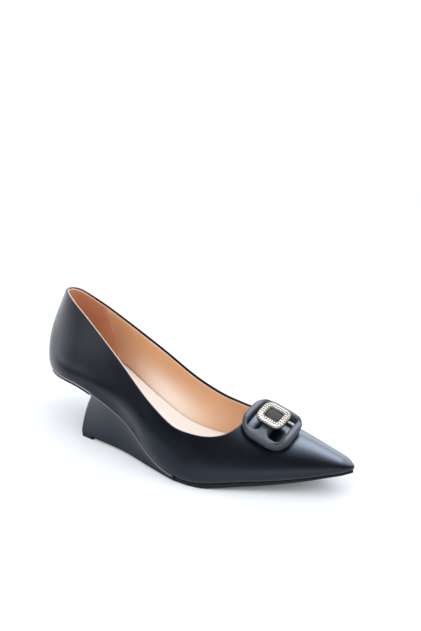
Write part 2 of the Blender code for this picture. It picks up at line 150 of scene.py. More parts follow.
def smooth_step(share: np.ndarray) -> np.ndarray:
    """Soft start and end for shares from 0 to 1."""
    return share * share * (3.0 - 2.0 * share)


def run_along(path: np.ndarray) -> np.ndarray:
    """Distances along a path, or along each column of a grid of points, from its first point."""
    steps = np.linalg.norm(np.diff(path, axis=-2), axis=-1)
    return np.concatenate([np.zeros_like(steps[..., :1]), np.cumsum(steps, axis=-1)], axis=-1)


def unit(vectors: np.ndarray) -> np.ndarray:
    """Vectors of length one in the same directions."""
    return vectors / np.maximum(np.linalg.norm(vectors, axis=-1, keepdims=True), TINY)


def table_value(table: Sequence[tuple[float, float]], x: np.ndarray) -> np.ndarray:
    """Value at stations, along straight lines between the rows of a table."""
    stations, values = np.array(table).T
    return np.interp(x, stations, values)


@dataclass(frozen=True)
class Counts:
    """How many columns each stretch of one side of the upper has, from toe tip to heel back."""

    tip: int = 8
    vamp: int = 30
    arc: int = 52
    side: int = 64
    heel: int = 34


@dataclass
class Last:
    """Shape of the shoe in millimetres from the heel back, with its tables."""

    length: float = 260.0
    ball_width: float = 78.0
    heel_height: float = 49.0
    instep_height: float = 73.0
    collar_height: float = 112.0
    wall_thick: float = 1.8
    gap: float = 0.3
    low_share: float = 0.22
    tip_reach: float = 7.3
    throat: float = 193.8
    side_end: float = 0.592 * 260.0
    throat_power: tuple[float, float] = (3.0, 3.1)
    heel_centre: float = 0.192 * 260.0
    heel_power: float = 0.9
    toe_draw: float = 1.5
    toe_draw_start: float = 200.0
    toe_draw_run: float = 52.0
    toe_inset: float = 2.2
    shoulder_inset: float = 0.6
    ease_reach: float = 5.0
    ease_spread: float = 2.2
    fan_end: float = 115.0
    heel_start: float = 0.1
    side_start: float = 0.05
    throat_start: float = 0.25
    arc_samples: int = 600
    seam_columns: int = 17
    seam_reach: float = 3.0
    seam_clear: float = 3.2
    heel_rows: int = 36
    tip_rows: int = 12
    origin: Row = (-130.0657215, 3.5619677, 0.0)
    columns: tuple[str, ...] = (
        "station", "floor", "foot_out", "foot_in", "belly_out", "belly_in", "shoulder", "ridge",
        "axis")
    sections: tuple[tuple[float, ...], ...] = (
        (0.000, 0.965, 0.360, 0.340, 0.360, 0.340, -0.070, 2.200, 0.000),
        (0.088, 0.935, 0.378, 0.345, 0.360, 0.340, -0.070, 2.160, 0.000),
        (0.192, 0.885, 0.387, 0.327, 0.360, 0.345, -0.050, 2.115, 0.000),
        (0.300, 0.743, 0.373, 0.260, 0.353, 0.371, 0.088, 1.866, -0.027),
        (0.400, 0.475, 0.349, 0.261, 0.431, 0.425, 0.209, 1.589, -0.036),
        (0.500, 0.210, 0.421, 0.319, 0.515, 0.495, 0.269, 1.290, -0.053),
        (0.600, 0.079, 0.521, 0.392, 0.594, 0.536, 0.296, 0.970, -0.020),
        (0.672, 0.076, 0.534, 0.409, 0.617, 0.529, 0.280, 0.800, 0.015),
        (0.740, 0.125, 0.474, 0.385, 0.575, 0.481, 0.235, 0.645, 0.050),
        (0.820, 0.187, 0.346, 0.320, 0.440, 0.386, 0.167, 0.520, 0.055),
        (0.900, 0.272, 0.210, 0.209, 0.278, 0.249, 0.112, 0.436, 0.058),
        (0.960, 0.359, 0.109, 0.115, 0.160, 0.147, 0.072, 0.370, 0.057),
        (1.000, 0.416, 0.048, 0.047, 0.087, 0.074, 0.045, 0.325, 0.061))
    top_line: tuple[tuple[float, float], ...] = (
        (0.036, 1.000), (0.112, 0.944), (0.192, 0.852), (0.300, 0.715), (0.400, 0.571),
        (0.500, 0.425), (0.592, 0.318))
    settle_out: tuple[tuple[float, float], ...] = (
        (18.0, -1.0), (35.0, -0.5), (53.0, -0.2), (69.0, 0.5), (86.0, 1.1), (101.0, 1.25), (117.0, 0.75),
        (131.0, 0.45), (144.0, 0.95), (156.0, 1.45))
    settle_in: tuple[tuple[float, float], ...] = (
        (18.0, -1.0), (24.0, -0.5), (29.0, 0.7), (35.0, 1.8), (41.0, 2.3), (48.0, 2.3), (55.0, 2.0), (62.0, 1.6),
        (74.0, 0.9), (87.0, 0.6), (112.0, 0.1), (130.0, 0.1), (142.0, 0.3), (156.0, 0.1))
    back_curve: tuple[tuple[float, float], ...] = ((0.0, 3.8), (18.0, 0.0), (42.0, 7.5), (69.0, 22.0))

    def __post_init__(self) -> None:
        """Make the curves through the tables."""
        table = np.array(self.sections).T
        scale = {"floor": self.heel_height, "ridge": self.instep_height}
        self.curves = {}
        for number, name in enumerate(self.columns[1:], start=1):
            values = table[number] * scale.get(name, self.ball_width)
            self.curves[name] = Spline(table[0] * self.length, values)
        top = np.array(self.top_line)
        self.top = Spline(top[:, 0] * self.length, top[:, 1] * self.collar_height)
        back = np.array(self.back_curve)
        self.back = Spline(back[:, 0], back[:, 1])
        self.settle = {}
        for side, rows in ((Side.OUTER, self.settle_out), (Side.INNER, self.settle_in)):
            stations, drops = np.array(rows).T
            self.settle[side] = Spline(stations, drops)

    def get(self, name: str, x: np.ndarray | float, side: Side | None = None) -> np.ndarray:
        """Value of a table column at a station.

        Args:
            name: Column, without its side.
            x: Station or array of stations.
            side: Side of the foot, where the column has two.
        Returns:
            Values of the same shape as x.
        """
        if side is not None:
            name += "_out" if side is Side.OUTER else "_in"
        return self.curves[name](x)

    def seat(self, x: np.ndarray | float) -> np.ndarray:
        """Height of the pieces that lie under the upper, a gap below its lower edge."""
        return self.get("floor", x) - self.gap

    def reach(self, x: np.ndarray, t: np.ndarray, side: Side) -> np.ndarray:
        """Distance of points of the side wall from the axis of the foot."""
        return side.value * (self.wall(x, t, side)[..., 1] - self.get("axis", x))

    def toe_end(self, inset: float) -> float:
        """Station of the toe tip of the surface lying inset inside the upper."""
        return self.length - self.toe_inset * inset

    def closing(self, x: np.ndarray | float, end: float) -> np.ndarray:
        """Share of the section left near the rounded toe tip at station end."""
        u = np.clip((x - (end - self.tip_reach)) / self.tip_reach, 0.0, 1.0)
        return np.sqrt(np.maximum(0.0, 1.0 - u * u))

    def wall(self, x: np.ndarray, t: np.ndarray, side: Side, inset: float = 0.0) -> np.ndarray:
        """Points of the side wall.

        Args:
            x: Stations.
            t: Shares of the way from sole to ridge.
            side: Side of the foot.
            inset: Distance inside the outer surface.
        Returns:
            Points with a last axis of three.
        """
        c = self.closing(x, self.toe_end(inset))
        foot = (self.get("foot", x, side) - inset) * c
        belly = (self.get("belly", x, side) - inset) * c
        shoulder = (self.get("shoulder", x) - self.shoulder_inset * inset) * c
        low = self.get("floor", x)
        rise = (self.get("ridge", x) - inset - low) * c
        y = self.get("axis", x) + side.value * bezier(foot, belly, shoulder, 0.0, t)
        z = low + rise * bezier(0.0, self.low_share, 1.0, 1.0, t) - self.toe_drop(x) * (1.0 - t) ** 3
        return np.stack(np.broadcast_arrays(x, y, z), -1)

    def toe_drop(self, x: np.ndarray | float) -> np.ndarray:
        """How far the leather is drawn down over the sole edge towards the toe."""
        share = np.clip((x - self.toe_draw_start) / self.toe_draw_run, 0.0, 1.0)
        return self.toe_draw * smooth_step(share)

    def heel(self, phi: np.ndarray, t: np.ndarray, side: Side, inset: float = 0.0) -> np.ndarray:
        """Points of the heel cup.

        Args:
            phi: Fan angles, 0 at the back and a right angle at the heel centre.
            t: Shares of the way up.
            side: Side of the foot.
            inset: Distance inside the outer surface.
        Returns:
            Points with a last axis of three.
        """
        reach = np.cos(phi) ** self.heel_power
        spread = np.sin(phi) ** self.heel_power
        x_low = self.heel_centre - (self.heel_centre - self.back(0.0)) * reach
        foot = self.get("foot", x_low, side) - inset
        belly = self.get("belly", x_low, side) - inset
        shoulder = self.get("shoulder", x_low) - self.shoulder_inset * inset
        low = self.get("floor", x_low)
        rise = (self.get("ridge", x_low) - inset - low) * bezier(0.0, self.low_share, 1.0, 1.0, t)
        x = self.heel_centre - (self.heel_centre - self.back(rise) - inset) * reach
        y = self.get("axis", x_low) + side.value * bezier(foot, belly, shoulder, 0.0, t) * spread
        return np.stack(np.broadcast_arrays(x, y, low + rise), -1)

    def over_top(self, points: np.ndarray, side: Side, drop: np.ndarray | float) -> np.ndarray:
        """Height of points over the settled top line of a side, lowered by drop."""
        x = np.minimum(points[..., 0], self.side_end)
        return points[..., 2] - self.top(x) + self.settle[side](x) + drop

    def heel_top(self, phi: np.ndarray, side: Side, inset: float, drop: np.ndarray | float) -> np.ndarray:
        """Parameter t at the top line for heel columns."""
        low = np.full(np.shape(phi), self.heel_start)
        return solve(lambda t: self.over_top(self.heel(phi, t, side, inset), side, drop), low, np.ones_like(low))

    def side_top(self, x: np.ndarray, side: Side, inset: float, drop: np.ndarray | float) -> np.ndarray:
        """Parameter t at the top line for side columns."""
        low = np.full(np.shape(x), self.side_start)
        return solve(lambda t: self.over_top(self.wall(x, t, side, inset), side, drop), low, np.ones_like(low))

    def arc(self, a: np.ndarray, side: Side, inset: float, drop: np.ndarray) -> tuple[np.ndarray, np.ndarray]:
        """Stations and top parameters of the columns round the throat.

        Args:
            a: Angles, 0 at the end of the side and a right angle at the middle of the throat.
            side: Side of the foot.
            inset: Distance inside the outer surface.
            drop: Distances of the edge from the throat line.
        Returns:
            Stations and parameters t.
        """
        power = 2.0 / self.throat_power[0 if side is Side.OUTER else 1]
        reach = self.throat + drop - self.side_end
        x = self.side_end + reach * np.sin(a) ** power
        end = self.side_top(np.array([self.side_end]), side, inset, drop[-1:])
        start = self.wall(np.array([self.side_end]), end, side, inset)[0]
        half = abs(start[1] - self.get("axis", self.side_end))
        edge = half * np.maximum(np.cos(a), 0.0) ** power
        low = np.full(np.shape(a), self.throat_start)
        axis = self.get("axis", x)
        t = solve(lambda t: edge - np.abs(self.wall(x, t, side, inset)[..., 1] - axis), low, np.ones_like(low))
        return x, np.where(a > ALMOST * RIGHT_ANGLE, 1.0, t)

    def even_arc(self, count: int) -> np.ndarray:
        """Throat angles spaced evenly along the edge, from the middle to the side.

        Args:
            count: Stretches between them.
        Returns:
            One angle more than there are stretches.
        """
        a = np.linspace(0.0, RIGHT_ANGLE, self.arc_samples)
        x, t = self.arc(a, Side.OUTER, 0.0, np.zeros_like(a))
        run = run_along(self.wall(x, t, Side.OUTER))
        return np.interp(np.linspace(run[-1], 0.0, count + 1), run, a)

    def ease(self, x: np.ndarray, top: np.ndarray, joint: int, side: Side, inset: float) -> tuple[
            np.ndarray, np.ndarray]:
        """Round off the corner of the edge where the throat meets the side.

        Args:
            x: Stations along the edge from the throat.
            top: Parameters t along it.
            joint: Number of the first side column.
            side: Side of the foot.
            inset: Distance inside the outer surface.
        Returns:
            Eased stations and parameters.
        """
        run = run_along(self.wall(x, top, side, inset))
        weight = np.exp(-0.5 * ((run[:, None] - run[None, :]) / self.ease_reach) ** 2)
        weight /= weight.sum(axis=1, keepdims=True)
        near = np.exp(-((run - run[joint]) / (self.ease_spread * self.ease_reach)) ** 2)
        return x + near * (weight @ x - x), top + near * (weight @ top - top)

    def fan(self, x: np.ndarray, tip: int) -> np.ndarray:
        """Foot stations of columns, spread evenly under the throat.

        Args:
            x: Top stations of the columns, from the toe.
            tip: Columns round the toe tip, which stay as they are.
        Returns:
            Foot stations.
        """
        last = int(np.flatnonzero(x >= self.fan_end)[-1])
        foot = x.copy()
        foot[tip:last + 1] = np.linspace(x[tip], x[last], last + 1 - tip)
        return foot

    def strip(self, counts: Counts, side: Side, inset: float, drops: tuple[float, float], shares: np.ndarray,
              seam: float) -> tuple[np.ndarray, np.ndarray]:
        """Columns of one side of the upper from the toe tip to the heel back.

        Args:
            counts: Columns in each stretch.
            side: Side of the foot.
            inset: Distance inside the outer surface.
            drops: Distance of the edge below the top line, on the outer and on the inner side.
            shares: Shares of each column, from the sole upwards.
            seam: Station round which the columns stand close.
        Returns:
            Points, columns by rows by three, and for each column whether its top is an open edge.
        """
        end = self.toe_end(inset)
        middle = 0.5 * (drops[0] + drops[1])
        drop = drops[0] if side is Side.OUTER else drops[1]
        throat = self.throat + middle
        tip = end - self.tip_reach + self.tip_reach * np.sin(np.linspace(RIGHT_ANGLE, 0.0, counts.tip + 1)[:-1])
        vamp = throat + (end - self.tip_reach - throat) * np.linspace(1.0, 0.0, counts.vamp + 1)[:-1]
        blend = smooth_step(np.linspace(0.0, 1.0, counts.arc + 1))
        x_arc, t_arc = self.arc(self.even_arc(counts.arc), side, inset, middle + (drop - middle) * blend)
        x_arc, t_arc = x_arc[:-1], t_arc[:-1]
        x_side = np.linspace(self.side_end, self.heel_centre, counts.side + 1)[:-1]
        close = seam + np.linspace(1.0, -1.0, self.seam_columns) ** 3 * self.seam_reach
        clear = x_side[np.abs(x_side - seam) > self.seam_clear]
        x_side = np.sort(np.concatenate([clear, close]))[::-1]
        phi = np.linspace(RIGHT_ANGLE, 0.0, counts.heel + 1)
        front = np.concatenate([tip, vamp])
        edge = np.concatenate([t_arc, self.side_top(x_side, side, inset, drop)])
        x_edge, edge = self.ease(np.concatenate([x_arc, x_side]), edge, len(x_arc), side, inset)
        x = np.concatenate([front, x_edge])
        top = np.concatenate([np.ones(len(front)), edge])
        foot = self.fan(x, counts.tip)
        run = foot[:, None] + (x - foot)[:, None] * shares[None, :]
        walls = self.wall(run, top[:, None] * shares[None, :], side, inset)
        rise = self.heel_top(phi, side, inset, middle + (drop - middle) * np.sin(phi))
        heels = self.heel(phi[:, None], rise[:, None] * shares[None, :], side, inset)
        is_open = np.arange(len(x) + len(phi)) >= len(front)
        return np.concatenate([walls, heels]), is_open

    def around(self, counts: Counts, inset: float, drops: tuple[float, float], shares: np.ndarray,
               seam: float) -> tuple[np.ndarray, np.ndarray]:
        """Columns round the whole upper: outer side from toe to heel, inner side back to the toe.

        Args:
            counts: Columns in each stretch of a side.
            inset: Distance inside the outer surface.
            drops: Distance of the edge below the top line, on the outer and on the inner side.
            shares: Shares of each column, from the sole upwards.
            seam: Station round which the columns stand close.
        Returns:
            Points, columns by rows by three, and for each column whether its top is an open edge.
        """
        outer, is_open = self.strip(counts, Side.OUTER, inset, drops, shares, seam)
        inner, _ = self.strip(counts, Side.INNER, inset, drops, shares, seam)
        return np.concatenate([outer, inner[-2::-1]]), np.concatenate([is_open, is_open[-2::-1]])

    def plan(self, start: float, end: float, inset: float, count: int, toe: float) -> list[Row]:
        """Outline of the sole as rows (x, outer y, inner y).

        Args:
            start: First station; one before the heel centre begins at the round heel back.
            end: Last station.
            inset: Distance inside the sole edge.
            count: Rows along the straight stretch.
            toe: Station of the toe tip.
        Returns:
            Rows from heel to toe.
        """
        rows: list[Row] = []
        if start < self.heel_centre:
            turn = np.linspace(0.0, RIGHT_ANGLE, self.heel_rows)
            for r, s in zip(np.cos(turn) ** self.heel_power, np.sin(turn) ** self.heel_power):
                x_low = self.heel_centre - (self.heel_centre - self.back(0.0)) * r
                x = self.heel_centre - (self.heel_centre - self.back(0.0) - inset) * r
                rows.append(self.plan_row(x, x_low, inset, s))
            start = self.heel_centre
        last = toe - self.tip_reach
        xs = list(np.linspace(start, min(end, last), count))[1 if rows else 0:]
        if end > last:
            xs += list(last + self.tip_reach * np.sin(np.linspace(0.0, RIGHT_ANGLE, self.tip_rows)[1:]))
        return rows + [self.plan_row(x, x, inset, float(self.closing(x, toe))) for x in xs]

    def plan_row(self, x: float, station: float, inset: float, share: float) -> Row:
        """One outline row.

        Args:
            x: Its place along the shoe.
            station: Station that gives its widths.
            inset: Distance inside the sole edge.
            share: Share that the widths are narrowed to.
        Returns:
            Row (x, outer y, inner y).
        """
        axis = float(self.get("axis", station))
        out = (float(self.get("foot", station, Side.OUTER)) - inset) * share
        inn = (float(self.get("foot", station, Side.INNER)) - inset) * share
        return (float(x), axis - out, axis + inn)


LAST = Last()


def to_frame(points: np.ndarray) -> np.ndarray:
    """Points of the last, in millimetres, as metres in the row frame."""
    return (np.asarray(points, float) + np.array(LAST.origin)) * MM


def grid_normals(points: np.ndarray) -> np.ndarray:
    """Unit normals of a grid of points.

    Args:
        points: Columns by rows by three.
    Returns:
        Normals of the same shape.
    """
    return unit(np.cross(np.gradient(points, axis=0), np.gradient(points, axis=1)))


def mapped_grid(points: np.ndarray, skip: np.ndarray | None = None) -> bmesh.types.BMesh:
    """Grid mesh laid over points of the last.

    Args:
        points: Columns by rows by three, in millimetres.
        skip: Faces to leave out, columns - 1 by rows - 1.
    Returns:
        Mesh with its coinciding points merged.
    """
    columns, rows = points.shape[:2]
    bm = bmesh.new()
    bmesh.ops.create_grid(bm, x_segments=columns - 1, y_segments=rows - 1, size=1.0)
    flat = np.array([vert.co[:] for vert in bm.verts])
    span = np.ptp(flat, axis=0)
    low = flat.min(axis=0)
    i = np.rint((flat[:, 0] - low[0]) / span[0] * (columns - 1)).astype(int)
    j = np.rint((flat[:, 1] - low[1]) / span[1] * (rows - 1)).astype(int)
    drop = []
    if skip is not None:
        for face in bm.faces:
            a, b = (min(number[vert.index] for vert in face.verts) for number in (i, j))
            if skip[a, b]:
                drop.append(face)
    for vert, co in zip(bm.verts, to_frame(points)[i, j]):
        vert.co = co
    bmesh.ops.delete(bm, geom=drop, context="FACES")
    bmesh.ops.remove_doubles(bm, verts=bm.verts, dist=MERGE)
    bmesh.ops.dissolve_degenerate(bm, edges=bm.edges, dist=SLIVER)
    return bm


def tube(path: np.ndarray, radius: float | np.ndarray, sides: int = 8) -> bmesh.types.BMesh:
    """Round bead along a path; a path that ends where it began closes up.

    Args:
        path: Points in millimetres.
        radius: Radius in millimetres, for all points or for each.
        sides: Points round the bead.
    Returns:
        Closed mesh.
    """
    if np.linalg.norm(path[0] - path[-1]) < CLOSED:
        along = np.roll(path[:-1], -1, axis=0) - np.roll(path[:-1], 1, axis=0)
        along = np.concatenate([along, along[:1]])
    else:
        along = np.gradient(path, axis=0)
    along = unit(along)
    flat = unit(np.cross(along, (0.0, 0.0, 1.0)))
    up = np.cross(flat, along)
    angle = np.linspace(0.0, 2.0 * math.pi, sides + 1)[None, :, None]
    reach = np.broadcast_to(radius, len(path))[:, None, None]
    ring = path[:, None] + reach * (np.cos(angle) * flat[:, None] + np.sin(angle) * up[:, None])
    bm = mapped_grid(ring)
    fill_ends(bm)
    return bm


def open_loops(bm: bmesh.types.BMesh) -> list[list[bmesh.types.BMEdge]]:
    """Open edges of a mesh, gathered into loops.

    Args:
        bm: Mesh.
    Returns:
        Loops in the order of their first edges.
    """
    seen: set[bmesh.types.BMEdge] = set()
    loops = []
    for start in [edge for edge in bm.edges if edge.is_boundary]:
        if start in seen:
            continue
        seen.add(start)
        chain, grow = [start], list(start.verts)
        while grow:
            for edge in grow.pop().link_edges:
                if edge.is_boundary and edge not in seen:
                    seen.add(edge)
                    chain.append(edge)
                    grow += list(edge.verts)
        loops.append(chain)
    return loops


def fill_ends(bm: bmesh.types.BMesh) -> None:
    """Close every open edge loop of a mesh with triangles, each by itself."""
    for loop in open_loops(bm):
        bmesh.ops.triangle_fill(bm, use_beauty=True, use_dissolve=False, edges=loop)


def add_object(name: str, bm: bmesh.types.BMesh, surface: bpy.types.Material) -> bpy.types.Object:
    """Put a mesh into the scene.

    Args:
        name: Name of the object and of its mesh.
        bm: Mesh in the row frame; it is freed.
        surface: Material.
    Returns:
        The new object.
    """
    mesh = bpy.data.meshes.new(name)
    bm.to_mesh(mesh)
    bm.free()
    mesh.materials.append(surface)
    made = bpy.data.objects.new(name, mesh)
    bpy.context.scene.collection.objects.link(made)
    return made


def make_piece(name: str, bm: bmesh.types.BMesh, surface: bpy.types.Material,
               replaces: Sequence[str] = (), smooth: bool = True) -> bpy.types.Object:
    """Object of a finished mesh, riding on the shoe.

    Args:
        name: Piece name.
        bm: Mesh in the row frame; it is freed.
        surface: Material.
        replaces: CAD nodes that the piece stands for.
        smooth: Whether its faces are shaded smooth.
    Returns:
        The new object.
    """
    bmesh.ops.recalc_face_normals(bm, faces=bm.faces)
    for face in bm.faces:
        face.smooth = smooth
    made = add_object(name, bm, surface)
    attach(made, BODY)
    if replaces:
        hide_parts(*replaces)
    LOG.info("%s: %d faces", name, len(made.data.polygons))
    return made


def add_bevel(piece: bpy.types.Object, width: float, segments: int, angle: float = 40.0) -> None:
    """Round the sharp edges of a piece.

    Args:
        piece: Object to finish.
        width: Width of the rounding in millimetres.
        segments: Steps of the rounding.
        angle: Least angle between faces, in degrees.
    """
    bevel = piece.modifiers.new("soft_edges", "BEVEL")
    bevel.width = width * MM
    bevel.segments = segments
    bevel.limit_method = "ANGLE"
    bevel.angle_limit = math.radians(angle)
    bevel.harden_normals = False


def add_mask(piece: bpy.types.Object, name: str, mask: Callable[[np.ndarray], np.ndarray]) -> None:
    """Write a mask for the finish of a piece at its points.

    Args:
        piece: Object to mark.
        name: Attribute name.
        mask: Values at points of the last, in millimetres.
    """
    points = np.array([vert.co[:] for vert in piece.data.vertices]) / MM - np.array(LAST.origin)
    piece.data.attributes.new(name, "FLOAT", "POINT").data.foreach_set("value", mask(points))


def add_wall(piece: bpy.types.Object, thick: float, offset: float) -> None:
    """Give a sheet its thickness.

    Args:
        piece: Object to finish.
        thick: Thickness in millimetres.
        offset: 1 to grow along the normals, -1 against them.
    """
    solid = piece.modifiers.new("thickness", "SOLIDIFY")
    solid.thickness = thick * MM
    solid.offset = offset
    solid.use_even_offset = True


# Finishes


class Nodes:
    """Short way to write a node tree."""

    def __init__(self, tree: bpy.types.NodeTree) -> None:
        """Keep the tree that the nodes go into."""
        self.tree = tree

    def add(self, kind: str, inputs: dict[str | int, object] | None = None, **settings: object) -> bpy.types.Node:
        """Add a node.

        Args:
            kind: Blender's node type.
            inputs: Values, or sockets to link, by the name or number of the input.
            settings: Node properties.
        Returns:
            The node.
        """
        node = self.tree.nodes.new(kind)
        for key, value in settings.items():
            setattr(node, key, value)
        for key, value in (inputs or {}).items():
            self.put(node, key, value)
        return node

    def put(self, node: bpy.types.Node, key: str | int, value: object) -> None:
        """Set or link one input of a node.

        Args:
            node: Node.
            key: Name or number of the input.
            value: Value, or socket to link.
        """
        if isinstance(value, bpy.types.NodeSocket):
            self.tree.links.new(value, node.inputs[key])
        else:
            node.inputs[key].default_value = value

    def math(self, operation: str, a: object, b: object) -> bpy.types.NodeSocket:
        """Result of a calculation with two values."""
        return self.add("ShaderNodeMath", {0: a, 1: b}, operation=operation).outputs[0]

    def ramp(self, value: object, low: float, high: float, to_low: float, to_high: float) -> bpy.types.NodeSocket:
        """Value moved softly from one range to another.

        Args:
            value: Value to move.
            low: Start of its range.
            high: End of its range.
            to_low: Result at the start.
            to_high: Result at the end.
        Returns:
            Socket of the result.
        """
        names = ("Value", "From Min", "From Max", "To Min", "To Max")
        inputs = dict(zip(names, (value, low, high, to_low, to_high)))
        return self.add("ShaderNodeMapRange", inputs, interpolation_type="SMOOTHSTEP").outputs[0]

    def mix(self, share: object, a: object, b: object) -> bpy.types.NodeSocket:
        """Colour between two colours.

        Args:
            share: Share of the second colour.
            a: First colour.
            b: Second colour.
        Returns:
            Socket of the mixed colour.
        """
        node = self.add("ShaderNodeMix", data_type="RGBA")
        for key, value in ((0, share), (6, a), (7, b)):
            self.put(node, key, rgba(value) if isinstance(value, tuple) else value)
        return node.outputs[2]


def rgba(colour: Colour) -> tuple[float, float, float, float]:
    """Colour with its alpha."""
    return (colour[0], colour[1], colour[2], 1.0)


def new_group(name: str, inputs: dict[str, float], outputs: Sequence[str]) -> tuple[
        bpy.types.NodeTree, Nodes, bpy.types.Node, bpy.types.Node]:
    """Empty shader group with float sockets.

    Args:
        name: Group name.
        inputs: Input names with their usual values.
        outputs: Output names.
    Returns:
        Tree, writer, input node and output node.
    """
    tree = bpy.data.node_groups.new(name, "ShaderNodeTree")
    for key, value in inputs.items():
        socket = tree.interface.new_socket(name=key, in_out="INPUT", socket_type="NodeSocketFloat")
        socket.default_value = value
    for key in outputs:
        tree.interface.new_socket(name=key, in_out="OUTPUT", socket_type="NodeSocketFloat")
    write = Nodes(tree)
    return tree, write, write.add("NodeGroupInput"), write.add("NodeGroupOutput")


def grain_group() -> bpy.types.NodeTree:
    """Pebbled grain: fine cells and creases as a height, with a slow cloud as a tone.

    Returns:
        Group with the inputs Scale and Cells and the outputs Height and Tone.
    """
    tree, write, into, out = new_group("hide_grain", {"Scale": 1800.0, "Cells": 0.6}, ("Height", "Tone"))
    place = write.add("ShaderNodeTexCoord").outputs["Object"]
    scale = into.outputs["Scale"]
    cells = write.add("ShaderNodeTexVoronoi", {"Vector": place, "Scale": scale}, feature="SMOOTH_F1")
    fine = write.add("ShaderNodeTexNoise", {
        "Vector": place, "Scale": write.math("MULTIPLY", scale, FINE_GRAIN), "Detail": 4.0, "Roughness": 0.6})
    cloud = write.add("ShaderNodeTexNoise", {"Vector": place, "Scale": 26.0, "Detail": 3.0})
    share = into.outputs["Cells"]
    first = write.math("MULTIPLY", cells.outputs["Distance"], share)
    second = write.math("MULTIPLY", fine.outputs[0], write.math("SUBTRACT", 1.0, share))
    write.put(out, "Height", write.math("ADD", first, second))
    write.put(out, "Tone", write.ramp(cloud.outputs[0], 0.3, 0.7, 0.0, 1.0))
    return tree


def handling_group() -> bpy.types.NodeTree:
    """Faint marks of handling: streaks and specks as a mask.

    Returns:
        Group with the input Amount and the output Mask, from 0 to the amount.
    """
    tree, write, into, out = new_group("handling", {"Amount": 0.05}, ("Mask",))
    place = write.add("ShaderNodeTexCoord").outputs["Object"]
    turned = write.add("ShaderNodeMapping", {"Vector": place, "Scale": (0.35, 1.0, 1.4)})
    streak = write.add("ShaderNodeTexNoise", {
        "Vector": turned.outputs[0], "Scale": 60.0, "Detail": 6.0, "Roughness": 0.7})
    mask = write.ramp(streak.outputs[0], 0.48, 0.78, 0.0, 1.0)
    write.put(out, "Mask", write.math("MULTIPLY", mask, into.outputs["Amount"]))
    return tree


@dataclass(frozen=True)
class Finish:
    """Surface with two near tones, a gloss that varies a little, and a fine relief."""

    name: str
    light: Colour
    dark: Colour
    gloss: tuple[float, float] = (0.36, 0.44)
    grain: float = 1800.0
    cells: float = 0.6
    relief: float = 0.12
    depth: float = 0.05
    marks: float = 0.0
    metal: float = 0.0
    specular: float = 0.5
    coat_rough: float = 0.2
    sheen: float = 0.0
    tint: Colour = (1.0, 1.0, 1.0)
    painted_light_colour: Colour | None = None
    shine: bool = False

    def build(self, groups: dict[str, bpy.types.NodeTree]) -> bpy.types.Material:
        """Make the material.

        Args:
            groups: Shared effects by name.
        Returns:
            The material.
        """
        made = bpy.data.materials.new(self.name)
        made.use_nodes = True
        made.diffuse_color = rgba(self.light)
        write = Nodes(made.node_tree)
        shader = made.node_tree.nodes["Principled BSDF"]
        grain = write.add("ShaderNodeGroup", node_tree=groups["grain"])
        write.put(grain, "Scale", self.grain)
        write.put(grain, "Cells", self.cells)
        tone = grain.outputs["Tone"]
        rough = write.ramp(tone, 0.0, 1.0, self.gloss[0], self.gloss[1])
        colour = write.mix(tone, self.dark, self.light)
        if self.marks > 0.0:
            handled = write.add("ShaderNodeGroup", node_tree=groups["handling"])
            write.put(handled, "Amount", self.marks)
            mask = handled.outputs["Mask"]
            rough = write.math("ADD", rough, write.math("MULTIPLY", mask, RUBBED_ROUGH))
            rubbed = tuple(min(1.0, RUBBED_GAIN * v + RUBBED_LIFT) for v in self.light)
            colour = write.mix(mask, colour, rubbed)
        # Painted light: where the pale mask says, the colour turns towards a paler one, a painted pool of light on the
        # lining.
        if self.painted_light_colour is not None:
            pale = write.add("ShaderNodeAttribute", attribute_name="pale").outputs["Fac"]
            colour = write.mix(pale, colour, self.painted_light_colour)
        bump = write.add("ShaderNodeBump", {
            "Height": grain.outputs["Height"], "Strength": self.relief, "Distance": self.depth * MM})
        if self.shine:
            polish = write.add("ShaderNodeAttribute", attribute_name="shine").outputs["Fac"]
            write.put(shader, "Coat Weight", polish)
        for key, value in (
                ("Base Color", colour), ("Roughness", rough), ("Normal", bump.outputs[0]),
                ("Metallic", self.metal), ("Specular IOR Level", self.specular), ("Sheen Weight", self.sheen),
                ("Coat Roughness", self.coat_rough), ("Specular Tint", rgba(self.tint))):
            write.put(shader, key, value)
        return made


